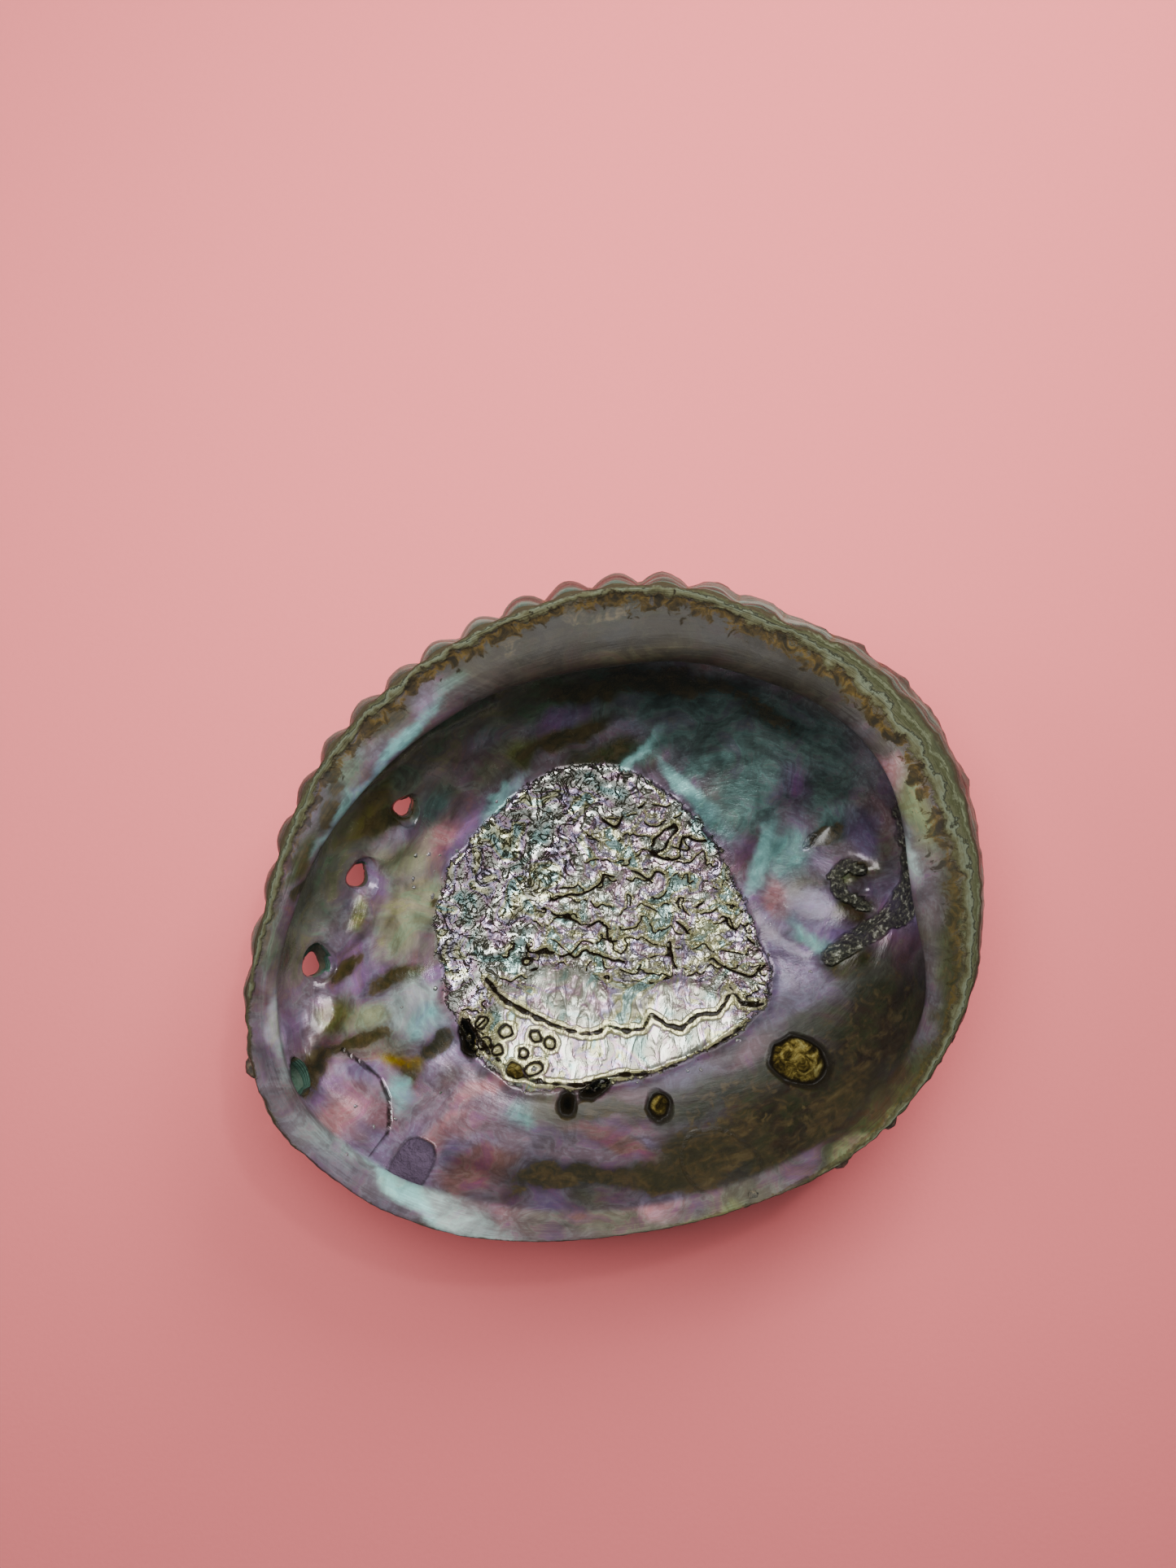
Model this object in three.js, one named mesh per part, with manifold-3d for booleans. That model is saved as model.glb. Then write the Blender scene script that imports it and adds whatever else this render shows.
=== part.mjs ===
// An empty abalone shell lying on its back, with its opening up.
// It grew as one piece: a deep ear-shaped bowl of mother-of-pearl under a corrugated crust.
// Round one side the wall rolls over into a flat inner shelf; the other side ends in a plain lip.
// Four breathing pores run through the wall, and the spire makes a dish in the floor.
// Millimetres, +Z up. The origin is the middle of the worn flat on the back that it rests on.
// Azimuths are in degrees from +X, the spire's end, round towards +Y, the shelf's side.
import * as THREE from "three";
import { mergeVertices } from "three/addons/utils/BufferGeometryUtils.js";
import Module from "manifold-3d";

// ---- Driving dimensions -------------------------------------------------------------------

// The outline seen from above: how far the wall reaches from the origin, every 15 degrees.
const REACH = [
  81.9, 82.7, 82.4, 80.1, 76.4, 75.2, 73.4, 71.6, 71.2, 72.0, 73.7, 76.1,
  79.2, 85.0, 88.6, 85.6, 81.4, 77.4, 74.8, 73.8, 74.4, 76.3, 78.0, 80.4,
];
// The rest is given every 30 degrees.
const HEIGHT = [50, 52, 52.5, 51.5, 50, 48, 46, 43.5, 41, 41, 43, 47]; // the margin's height
const SHELF = [11.5, 8.8, 11.4, 14.4, 11.6, 9.6, 4.6, 4.2, 2, 2, 2, 4]; // the inner shelf's width
const SHELF_SHARE = [1, 1, 1, 1, 1, 1, 0.95, 0.6, 0, 0, 0, 0.3]; // 1 a shelf, 0 a plain lip
const UNDERCUT = [7, 9, 10, 11, 9, 6, 1, 0.5, 0, 0, 0, 1]; // how far the bowl reaches under it
const ROLL = [3.5, 6.5, 5, 4.6, 4, 3, 2.5, 1, 0, 0, 0, 1.5]; // the wall's bulge past its margin
const FOLD_DEPTH = [0, 1.0, 2.3, 2.8, 2.6, 2.0, 1.8, 0.6, 0, 0, 0, 0]; // of the corrugations
const KEEL_REACH = [0.9, 0.9, 0.88, 0.86, 0.83, 0.8, 0.84, 0.93, 0.87, 0.85, 0.85, 0.87];
const KEEL_HEIGHT = [0.28, 0.28, 0.3, 0.31, 0.32, 0.32, 0.39, 0.62, 0.42, 0.36, 0.36, 0.33];

const FLOOR_THICKNESS = 5;
const WALL_THICKNESS = 3.1;
const LIP_THICKNESS = 1.5;
const SHELF_THICKNESS = 2.8;
const WORN_AWAY = 1.5; // the depth of the back that is worn flat

// The corrugations scallop the shelf's side, and fade out down the wall.
const FOLD_PITCH = 360 / 42;
const FOLDS_FROM = 2 * FOLD_PITCH;
const FOLDS_TO = 25 * FOLD_PITCH;
const FOLD_FOOT = 6;
const FOLD_TOP = 34;
const FOLD_LEVEL = 0.7; // the share of a fold's depth that lies inside the outline

// The spire: its dish in the floor with a smooth ridge round it, and its bump on the back.
const SPIRE = { x: 55, y: 8 };
const DISH = { radius: 22, depth: 5, ridge: 1.2, ridgeWidth: 0.22 };
const BUMP = { radius: 17, depth: 3.2 };

// The raised patch where the muscle held on: an oval on the floor.
const SCAR = { x: -2.3, y: -8.7, across: 41, along: 39, rise: 0.7 };

// The open pores: a point on each one's axis, the way it points out, and its radius.
const PORES = [
  { x: -52.0, y: 22.5, z: 15.5, azimuth: 150, dip: 52, radius: 2.6 },
  { x: -63.0, y: 5.5, z: 18.5, azimuth: 170, dip: 48, radius: 2.9 },
  { x: -73.2, y: -15.6, z: 23.5, azimuth: 190, dip: 40, radius: 2.8 },
  { x: -77.5, y: -42.3, z: 33.5, azimuth: 207, dip: 12, radius: 2.6 },
];
const PORE_FLARE = 1.7; // how much wider a pore is where it leaves the wall
const PORE_FLARE_AT = 3;
const PORE_WAIST = 1;
const PORE_LENGTH = 22;

// The mesh: samples to a fold, the step elsewhere, and rows along each stretch of the section.
const SAMPLES_PER_FOLD = 4;
const PLAIN_STEP = 4;
const ROWS_PER_SPAN = [2, 2, 2, 2, 2, 1, 1, 2, 2, 1, 1, 1, 1, 1, 2, 2, 2, 2, 1, 1];
const INNER_SPANS = 13; // the spans from the floor's middle to the margin
const PORE_SEGMENTS = 14;
const GROUND = { side: 400, depth: 20 };
const WELD = 1e-4;

// ---- Helpers ------------------------------------------------------------------------------

const { degToRad, lerp, smoothstep } = THREE.MathUtils;

// A value from a ring of evenly spaced ones, smooth all the way round.
function around(ring, azimuth) {
  const at = ((((azimuth % 360) + 360) % 360) / 360) * ring.length;
  const i = Math.floor(at);
  const t = at - i;
  const [a, b, c, d] = [-1, 0, 1, 2].map((k) => ring[(i + k + ring.length) % ring.length]);
  const slope = (c - a) / 2;
  const nextSlope = (d - b) / 2;
  return lerp(b, c, t * t * (3 - 2 * t)) + t * (1 - t) * ((1 - t) * slope - t * nextSlope);
}

// ---- The section ---------------------------------------------------------------------------

// The section at one azimuth, as [distance from the axis, height] points: from the middle of the
// floor up the inner wall, under the shelf, round its edge, over its top to the margin, and down
// the outside to the middle of the back.
function sectionAt(azimuth) {
  const reach = around(REACH, azimuth);
  const height = around(HEIGHT, azimuth);
  const shelf = around(SHELF, azimuth);
  const share = around(SHELF_SHARE, azimuth);
  const undercut = around(UNDERCUT, azimuth);
  const margin = reach - around(ROLL, azimuth);
  const tip = margin - shelf;
  const keelReach = around(KEEL_REACH, azimuth) * reach;
  const keelHeight = around(KEEL_HEIGHT, azimuth) * height;
  const wall = WALL_THICKNESS * lerp(0.75, 1, share);
  const floor = FLOOR_THICKNESS - WORN_AWAY;
  const underside = height - SHELF_THICKNESS;

  // The two ways in which the wall can end, mixed by the share: a plain lip, and a shelf.
  const lip = [
    [reach - LIP_THICKNESS * 5, height * 0.66],
    [reach - LIP_THICKNESS * 3.5, height * 0.79],
    [reach - LIP_THICKNESS * 2.7, height * 0.86],
    [reach - LIP_THICKNESS * 2.1, height * 0.91],
    [reach - LIP_THICKNESS * 1.7, height * 0.95],
    [reach - LIP_THICKNESS * 1.4, height * 0.98],
    [reach - LIP_THICKNESS, height],
    [reach - LIP_THICKNESS * 0.55, height + 0.7],
    [reach - LIP_THICKNESS * 0.1, height + 0.3],
    [reach - 0.2, height - 2],
    [reach - 1.2, height * 0.84],
  ];
  const rolled = [
    [tip + undercut, height * 0.62],
    [tip + undercut * 0.9, underside - 4.5],
    [tip + 0.8, underside - 2.6],
    [tip - 1.2, underside - 0.2],
    [tip + 1.0, height - 0.9],
    [lerp(margin, tip, 0.5), height - 0.1],
    [margin - 2.2, height - 0.9],
    [margin - 0.6, height + 0.5],
    [margin + 0.5, height + 0.2],
    [margin + 2.2, height - 3],
    [reach + 1.1, height * 0.77],
  ];
  const end = lip.map((point, i) => point.map((value, k) => lerp(value, rolled[i][k], share)));

  return [
    [0, floor],
    [0.2 * reach, floor],
    [0.42 * reach, floor + 1.4],
    [0.63 * reach, floor + 5.3],
    [keelReach - wall * 0.85, keelHeight + wall * 0.75],
    ...end,
    [keelReach, keelHeight],
    [0.65 * reach, 4.6],
    [0.46 * reach, 1.6],
    [0.2 * reach, -WORN_AWAY * 0.7],
    [0, -WORN_AWAY],
  ];
}

// Points along the smooth curve (a cubic B-spline) that the section's points pull into shape.
function smoothSection(points) {
  const last = points.length - 1;
  const at = (i) => points[Math.min(Math.max(i, 0), last)];
  const rows = [];
  for (let span = 0; span < last; span++) {
    for (let step = 0; step < ROWS_PER_SPAN[span]; step++) {
      const t = step / ROWS_PER_SPAN[span];
      const weights = [
        (1 - t) ** 3 / 6,
        (3 * t ** 3 - 6 * t * t + 4) / 6,
        (-3 * t ** 3 + 3 * t * t + 3 * t + 1) / 6,
        t ** 3 / 6,
      ];
      const pull = (axis) => weights.reduce((sum, w, n) => sum + w * at(span - 1 + n)[axis], 0);
      rows.push([pull(0), pull(1)]);
    }
  }
  rows[0] = points[0];
  rows.push(points[last]);
  return rows;
}

// ---- The surface ---------------------------------------------------------------------------

// The azimuths of the sections: close together through the folds, with one on every crest.
function sectionAzimuths() {
  const azimuths = [];
  for (let at = FOLDS_FROM; at < FOLDS_TO; at += FOLD_PITCH / SAMPLES_PER_FOLD) azimuths.push(at);
  const steps = Math.round((360 + FOLDS_FROM - FOLDS_TO) / PLAIN_STEP);
  for (let i = 0; i < steps; i++) azimuths.push(lerp(FOLDS_TO, 360 + FOLDS_FROM, i / steps));
  return azimuths;
}

// How far the corrugations push the outer wall in or out: rounded crests and sharp furrows.
function foldAt(azimuth, height) {
  const wave = Math.abs(Math.sin((Math.PI * azimuth) / FOLD_PITCH)) - FOLD_LEVEL;
  return wave * around(FOLD_DEPTH, azimuth) * smoothstep(height, FOLD_FOOT, FOLD_TOP);
}

// Moves a point of the plain inner surface, for the spire's dish and the muscle's scar.
function shapeInside(point) {
  const away = Math.hypot(point.x - SPIRE.x, point.y - SPIRE.y) / DISH.radius;
  const scar = Math.hypot((point.x - SCAR.x) / SCAR.across, (point.y - SCAR.y) / SCAR.along);
  const ridge = Math.exp(-(((away - 1) / DISH.ridgeWidth) ** 2));
  point.z += DISH.ridge * ridge - DISH.depth * Math.exp(-(away ** 4));
  point.z += SCAR.rise * (1 - smoothstep(scar, 0.9, 1.05));
}

// Moves a point of the plain outer surface, for the spire's bump and the corrugations.
function shapeOutside(point, azimuth) {
  const away = Math.hypot(point.x - SPIRE.x, point.y - SPIRE.y) / BUMP.radius;
  point.z -= BUMP.depth * Math.exp(-(away ** 4));
  const angle = degToRad(azimuth);
  const fold = foldAt(azimuth, point.z);
  point.x += fold * Math.cos(angle);
  point.y += fold * Math.sin(angle);
}

// The whole skin, in and out: a ring of points for every row of the sections, and two poles.
function bowlGeometry() {
  const azimuths = sectionAzimuths();
  const sections = azimuths.map((azimuth) => smoothSection(sectionAt(azimuth)));
  const rows = sections[0].length;
  const outsideFrom = ROWS_PER_SPAN.slice(0, INNER_SPANS).reduce((sum, steps) => sum + steps, 0);
  const positions = [];
  const rings = [];
  for (let row = 0; row < rows; row++) {
    const pole = row === 0 || row === rows - 1;
    const ring = { start: positions.length / 3, count: pole ? 1 : azimuths.length };
    rings.push(ring);
    for (let s = 0; s < ring.count; s++) {
      const [distance, height] = sections[s][row];
      const angle = degToRad(azimuths[s]);
      const [x, y] = [distance * Math.cos(angle), distance * Math.sin(angle)];
      const point = new THREE.Vector3(x, y, height);
      if (row < outsideFrom) shapeInside(point);
      else shapeOutside(point, azimuths[s]);
      positions.push(point.x, point.y, point.z);
    }
  }
  const corner = (ring, s) => ring.start + (s % ring.count);
  const faces = [];
  for (let row = 0; row + 1 < rows; row++) {
    const [a, b] = [rings[row], rings[row + 1]];
    for (let s = 0; s < azimuths.length; s++) {
      if (a.count > 1) faces.push(corner(a, s), corner(b, s), corner(a, s + 1));
      if (b.count > 1) faces.push(corner(b, s), corner(b, s + 1), corner(a, s + 1));
    }
  }
  const geometry = new THREE.BufferGeometry();
  geometry.setAttribute("position", new THREE.Float32BufferAttribute(positions, 3));
  geometry.setIndex(faces);
  return geometry;
}

// A pore's cutter: narrow in the wall, and flared towards both of its mouths.
function poreGeometry({ x, y, z, azimuth, dip, radius }) {
  const half = PORE_LENGTH / 2;
  const mouth = radius + PORE_FLARE;
  const outline = [
    new THREE.Vector2(0, -half),
    new THREE.Vector2(mouth + PORE_FLARE, -half),
    new THREE.Vector2(mouth, -PORE_FLARE_AT),
    new THREE.Vector2(radius, -PORE_WAIST),
    new THREE.Vector2(radius, PORE_WAIST),
    new THREE.Vector2(mouth, PORE_FLARE_AT),
    new THREE.Vector2(mouth + PORE_FLARE, half),
    new THREE.Vector2(0, half),
  ];
  const outward = new THREE.Vector3(
    Math.cos(degToRad(dip)) * Math.cos(degToRad(azimuth)),
    Math.cos(degToRad(dip)) * Math.sin(degToRad(azimuth)),
    -Math.sin(degToRad(dip)),
  );
  const upright = new THREE.Vector3(0, 1, 0);
  return new THREE.LatheGeometry(outline, PORE_SEGMENTS)
    .applyQuaternion(new THREE.Quaternion().setFromUnitVectors(upright, outward))
    .translate(x, y, z);
}

// ---- Cutting -------------------------------------------------------------------------------

const wasm = await Module();
wasm.setup();

function solidFrom(geometry) {
  const bare = geometry.clone();
  bare.deleteAttribute("normal");
  bare.deleteAttribute("uv");
  const merged = mergeVertices(bare, WELD);
  return new wasm.Manifold(
    new wasm.Mesh({
      numProp: 3,
      vertProperties: merged.attributes.position.array,
      triVerts: new Uint32Array(merged.index.array),
    }),
  );
}

function geometryFrom(solid) {
  const mesh = solid.getMesh();
  const geometry = new THREE.BufferGeometry();
  geometry.setAttribute("position", new THREE.BufferAttribute(mesh.vertProperties, 3));
  geometry.setIndex(new THREE.BufferAttribute(mesh.triVerts, 1));
  geometry.computeVertexNormals();
  return geometry;
}

// The bowl, with its pores cut through and its back cut flat where it is worn.
function shellSolid() {
  const { side, depth } = GROUND;
  const ground = new THREE.BoxGeometry(side, side, depth).translate(0, 0, -depth / 2);
  const cutters = [...PORES.map(poreGeometry), ground];
  return cutters.reduce(
    (solid, cutter) => solid.subtract(solidFrom(cutter)),
    solidFrom(bowlGeometry()),
  );
}

// ---- The object ----------------------------------------------------------------------------

const shell = new THREE.Mesh(
  geometryFrom(shellSolid()),
  new THREE.MeshStandardMaterial({ color: 0x8f8a7c, roughness: 0.35, metalness: 0.1 }),
);
shell.name = "shell";

const abaloneShell = new THREE.Group();
abaloneShell.add(shell);

export default abaloneShell;
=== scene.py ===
"""The looks of an empty abalone shell, built around its fixed frame.

The shell lies on its back with the opening up. Sizes are in millimetres until a mesh is made.
Azimuths are in degrees from +X, the spire's end, round towards +Y, the side with the inner shelf.
A section runs from the middle of the floor (0) up the wall, over the margin (13) and down the
outside to the middle of the back (20).
"""

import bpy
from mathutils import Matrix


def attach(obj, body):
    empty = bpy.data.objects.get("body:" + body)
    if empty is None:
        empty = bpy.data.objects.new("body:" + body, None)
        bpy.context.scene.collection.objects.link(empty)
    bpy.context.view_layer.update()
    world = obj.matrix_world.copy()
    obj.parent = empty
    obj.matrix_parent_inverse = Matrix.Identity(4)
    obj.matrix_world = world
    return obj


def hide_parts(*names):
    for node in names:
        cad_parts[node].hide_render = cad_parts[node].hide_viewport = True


bl_info = {
    "name": "Abalone Shell",
    "version": (1, 0, 0),
    "blender": (4, 5, 0),
    "location": "3D View > Sidebar > Abalone",
    "description": "Builds an empty abalone shell lying on its back",
    "category": "Add Mesh",
}

import functools
import itertools
import math

import bpy
import numpy as np
from bpy.props import FloatProperty, FloatVectorProperty, IntProperty, PointerProperty, StringProperty
from mathutils import Vector
from mathutils.bvhtree import BVHTree
from mathutils.kdtree import KDTree

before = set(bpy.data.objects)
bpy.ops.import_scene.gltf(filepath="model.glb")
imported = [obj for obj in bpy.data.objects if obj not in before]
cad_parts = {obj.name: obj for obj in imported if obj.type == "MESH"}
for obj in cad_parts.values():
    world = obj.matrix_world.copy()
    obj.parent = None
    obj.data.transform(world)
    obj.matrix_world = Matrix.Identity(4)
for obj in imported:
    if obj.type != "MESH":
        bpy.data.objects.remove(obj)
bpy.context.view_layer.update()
MM = 0.001

# ---- The shell's form: the same driving dimensions as the solid it stands for ----------------

# How far the wall reaches from the origin, every 15 degrees.
REACH = (
    81.9, 82.7, 82.4, 80.1, 76.4, 75.2, 73.4, 71.6, 71.2, 72.0, 73.7, 76.1,
    79.2, 85.0, 88.6, 85.6, 81.4, 77.4, 74.8, 73.8, 74.4, 76.3, 78.0, 80.4,
)
# The rest is given every 30 degrees.
HEIGHT = (50, 52, 52.5, 51.5, 50, 48, 46, 43.5, 41, 41, 43, 47)
SHELF = (11.5, 8.8, 11.4, 14.4, 11.6, 9.6, 4.6, 4.2, 2, 2, 2, 4)
SHELF_SHARE = (1, 1, 1, 1, 1, 1, 0.95, 0.6, 0, 0, 0, 0.3)
UNDERCUT = (7, 9, 10, 11, 9, 6, 1, 0.5, 0, 0, 0, 1)
ROLL = (3.5, 6.5, 5, 4.6, 4, 3, 2.5, 1, 0, 0, 0, 1.5)
KEEL_REACH = (0.9, 0.9, 0.88, 0.86, 0.83, 0.8, 0.84, 0.93, 0.87, 0.85, 0.85, 0.87)
KEEL_HEIGHT = (0.28, 0.28, 0.3, 0.31, 0.32, 0.32, 0.39, 0.62, 0.42, 0.36, 0.36, 0.33)
FLOOR_THICKNESS = 5.0
WALL_THICKNESS = 3.1
LIP_THICKNESS = 1.5
SHELF_THICKNESS = 2.8
WORN_AWAY = 1.5

# The muscle's scar: its middle, and how far it reaches every 20 degrees.
SCAR_MIDDLE = (-2.3, -8.7)
SCAR_REACH = (
    39.5, 35.6, 36.0, 37.8, 40.5, 41.8, 41.0, 39.9, 41.6,
    42.4, 42.8, 44.8, 45.4, 41.5, 38.9, 39.3, 43.0, 45.5,
)
SPIRE = (55.0, 8.0)
DISH_RADIUS = 22.0

# The open pores: a point on each one's axis, where it points out, and its radius.
PORES = (
    {"at": (-52.0, 22.5, 15.5), "azimuth": 150, "dip": 52, "radius": 2.6},
    {"at": (-63.0, 5.5, 18.5), "azimuth": 170, "dip": 48, "radius": 2.9},
    {"at": (-73.2, -15.6, 23.5), "azimuth": 190, "dip": 40, "radius": 2.8},
    {"at": (-77.5, -42.3, 33.5), "azimuth": 207, "dip": 12, "radius": 2.6},
)

# The corrugations of the outside: how deep they are, every 30 degrees, and how high they begin.
FOLD_DEPTH = (0.2, 0.4, 1.0, 2.8, 2.6, 2.0, 1.8, 0.6, 0, 0, 0, 0)
FOLD_PITCH = 360 / 42
FOLD_LEVEL = 0.7
FOLD_FOOT = 6
FOLD_TOP = 34
# How far the young edge of the shell stands out past the solid's, every 30 degrees.
YOUNG_EDGE = (1.4, 3.2, 1.4, 2.0, 1.2, 1.2, 0.9, 2.0, 2.8, 0.1, 0.2, 1.3)
# How ragged the margin is, and how strong the brown line beside it is, every 30 degrees.
MARGIN_RAGGED = (0.6, 1.2, 0.9, 0.3, 0.4, 0.5, 0.5, 0.8, 0.35, 0.35, 0.6, 0.9)
STAINED = (0.7, 1, 0.9, 1, 1, 0.9, 0.5, 0.1, 0.1, 0.3, 0.6, 0.5)
# Where on the section that line lies: outside it the shell is glassy grey-green lime.
STAIN_LINE = (10.6, 10.0, 10.8, 11.4, 11.2, 11.0, 11.2, 12.4, 12.6, 12.5, 12.0, 11.0)
# The pores that the shell sealed as it grew, on the spiral back to the spire: x, y and radius.
SEALED_PORES = (
    (-38.9, 38.1, 3.2), (-25.2, 50.0, 3.0), (-11.0, 58.7, 2.8), (3.6, 64.8, 2.6), (19.0, 66.0, 2.4),
    (34.0, 62.0, 2.2), (47.0, 54.0, 2.0), (57.0, 43.0, 1.8),
)

# The mesh: (section from, to, rows) with the number of segments in each of those rings.
MARGIN = 13
SEGMENTS = 448
BANDS = (
    (0.0, 0.33, 8, 8), (0.33, 0.6, 8, 4), (0.6, 1.25, 22, 2),
    (1.25, 2, 24, 1), (2, 3, 27, 1), (3, 4, 24, 1), (4, 5, 18, 1), (5, 6, 7, 1), (6, 7, 4, 1),
    (7, 8, 3, 1), (8, 9, 5, 1), (9, 10, 5, 1), (10, 11, 9, 1), (11, 12, 7, 1), (12, 13, 6, 1),
    (13, 14, 6, 1), (14, 15, 9, 1), (15, 16, 14, 1),
    (16, 17, 16, 2), (17, 18, 12, 2), (18, 18.9, 12, 2), (18.9, 19.5, 8, 4), (19.5, 20, 6, 8),
)

# The camera looks straight down from here. The stage's places and sizes are in metres.
CAMERA_AT = (-0.006, 0.028, 0.308)
CAMERA_LENS = 27.03
CAMERA_SENSOR = 36

# The lamps, each turned to the shell: place, width, share of the key power, and whether the nacre
# mirrors it.
LAMPS = {
    "over": ((-0.04, 0.13, 0.36), 0.22, 0.38, True),
    "window": ((0.17, 0.42, 0.34), 0.26, 0.74, False),
    "side": ((-0.55, 0.16, 0.42), 0.2, 0.22, False),
    "glint": ((0.16, 0.3, 0.6), 0.03, 0.14, True),
}
ROOM_COLOUR = (0.9, 1, 1, 1)
ROOM_STRENGTH = 0.12
FLOOR_HALF = 1.5
# Well above the shell, where lines straight down to it begin.
OVERHEAD = 0.1


# ---- Small helpers --------------------------------------------------------------------------


def linear(hex_colour):
    """An sRGB hex colour as linear RGBA."""
    value = hex_colour.lstrip("#")
    parts = [int(value[i:i + 2], 16) / 255 for i in (0, 2, 4)]
    return tuple(c / 12.92 if c <= 0.04045 else ((c + 0.055) / 1.055) ** 2.4 for c in parts) + (1.0,)


def around(ring, azimuth):
    """A value from a ring of evenly spaced ones, smooth all the way round."""
    ring = np.asarray(ring, float)
    place = np.mod(azimuth, 360) / 360 * len(ring)
    i = np.floor(place).astype(int)
    t = place - i
    a, b, c, d = (ring[(i + k) % len(ring)] for k in (-1, 0, 1, 2))
    ease = t * t * (3 - 2 * t)
    return b + (c - b) * ease + t * (1 - t) * ((1 - t) * (c - a) / 2 - t * (d - b) / 2)


def mix(a, b, t):
    """The blend that is a where t is 0 and b where it is 1."""
    return a + (b - a) * t


def smoothstep(value, low, high):
    """A soft step, 0 up to low and 1 from high on."""
    t = np.clip((value - low) / (high - low), 0, 1)
    return t * t * (3 - 2 * t)


def noise(points, size, seed):
    """Smooth seeded noise from -1 to 1, whose lumps are about size millimetres across."""
    place = np.asarray(points, float) / size + np.array((seed * 7.31, seed * 3.17, seed * 5.53))
    cell = np.floor(place).astype(np.int64)
    t = place - cell
    t = t * t * (3 - 2 * t)
    total = np.zeros(len(place))
    for corner in itertools.product((0, 1), repeat=3):
        spot = cell + np.array(corner)
        key = spot[:, 0] * 73856093 ^ spot[:, 1] * 19349663 ^ spot[:, 2] * 83492791
        key = (key * 2654435761) & 0xFFFFFFFF
        key ^= key >> 15
        key = (key * 2246822519) & 0xFFFFFFFF
        key ^= key >> 13
        weight = np.prod(np.where(corner, t, 1 - t), axis=1)
        total += weight * (key / 2**31 - 1)
    return total


def rough(points, size, seed, octaves=3):
    """Noise with finer noise on it."""
    layers = [noise(points, size / 2**k, seed + k) / 2**k for k in range(octaves)]
    return sum(layers) / sum(1 / 2**k for k in range(octaves))


# ---- The section and the skin ----------------------------------------------------------------


def section_points(azimuth):
    """The points that pull each azimuth's section into shape, as (21, 2, azimuths)."""
    reach = around(REACH, azimuth)
    height = around(HEIGHT, azimuth)
    shelf = around(SHELF, azimuth)
    share = around(SHELF_SHARE, azimuth)
    undercut = around(UNDERCUT, azimuth)
    margin = reach - around(ROLL, azimuth)
    tip = margin - shelf
    keel_reach = around(KEEL_REACH, azimuth) * reach
    keel_height = around(KEEL_HEIGHT, azimuth) * height
    wall = WALL_THICKNESS * mix(0.75, 1, share)
    none = np.zeros_like(reach)
    floor = none + FLOOR_THICKNESS - WORN_AWAY
    underside = height - SHELF_THICKNESS
    lip = (
        (reach - LIP_THICKNESS * 5, height * 0.66),
        (reach - LIP_THICKNESS * 3.5, height * 0.79),
        (reach - LIP_THICKNESS * 2.7, height * 0.86),
        (reach - LIP_THICKNESS * 2.1, height * 0.91),
        (reach - LIP_THICKNESS * 1.7, height * 0.95),
        (reach - LIP_THICKNESS * 1.4, height * 0.98),
        (reach - LIP_THICKNESS, height),
        (reach - LIP_THICKNESS * 0.55, height + 0.7),
        (reach - LIP_THICKNESS * 0.1, height + 0.3),
        (reach - 0.2, height - 2),
        (reach - 1.2, height * 0.84),
    )
    rolled = (
        (tip + undercut, height * 0.62),
        (tip + undercut * 0.9, underside - 4.5),
        (tip + 0.8, underside - 2.6),
        (tip - 1.2, underside - 0.2),
        (tip + 1.0, height - 0.9),
        (mix(margin, tip, 0.5), height - 0.1),
        (margin - 2.2, height - 0.9),
        (margin - 0.6, height + 0.5),
        (margin + 0.5, height + 0.2),
        (margin + 2.2, height - 3),
        (reach + 1.1, height * 0.77),
    )
    ends = [(mix(a[0], b[0], share), mix(a[1], b[1], share)) for a, b in zip(lip, rolled)]
    points = [
        (none, floor),
        (0.2 * reach, floor),
        (0.42 * reach, floor + 1.4),
        (0.63 * reach, floor + 5.3),
        (keel_reach - wall * 0.85, keel_height + wall * 0.75),
        *ends,
        (keel_reach, keel_height),
        (0.65 * reach, none + 4.6),
        (0.46 * reach, none + 1.6),
        (0.2 * reach, none - WORN_AWAY * 0.7),
        (none, none - WORN_AWAY),
    ]
    return np.array(points)


def on_section(points, section):
    """The place on the smooth curve (a cubic B-spline) that the section's points pull into shape."""
    last = len(points) - 1
    if section <= 0 or section >= last:
        return points[0 if section <= 0 else last]
    span = int(section)
    t = section - span
    weights = (
        (1 - t) ** 3 / 6,
        (3 * t**3 - 6 * t * t + 4) / 6,
        (-3 * t**3 + 3 * t * t + 3 * t + 1) / 6,
        t**3 / 6,
    )
    return sum(w * points[min(max(span - 1 + n, 0), last)] for n, w in enumerate(weights))


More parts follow.
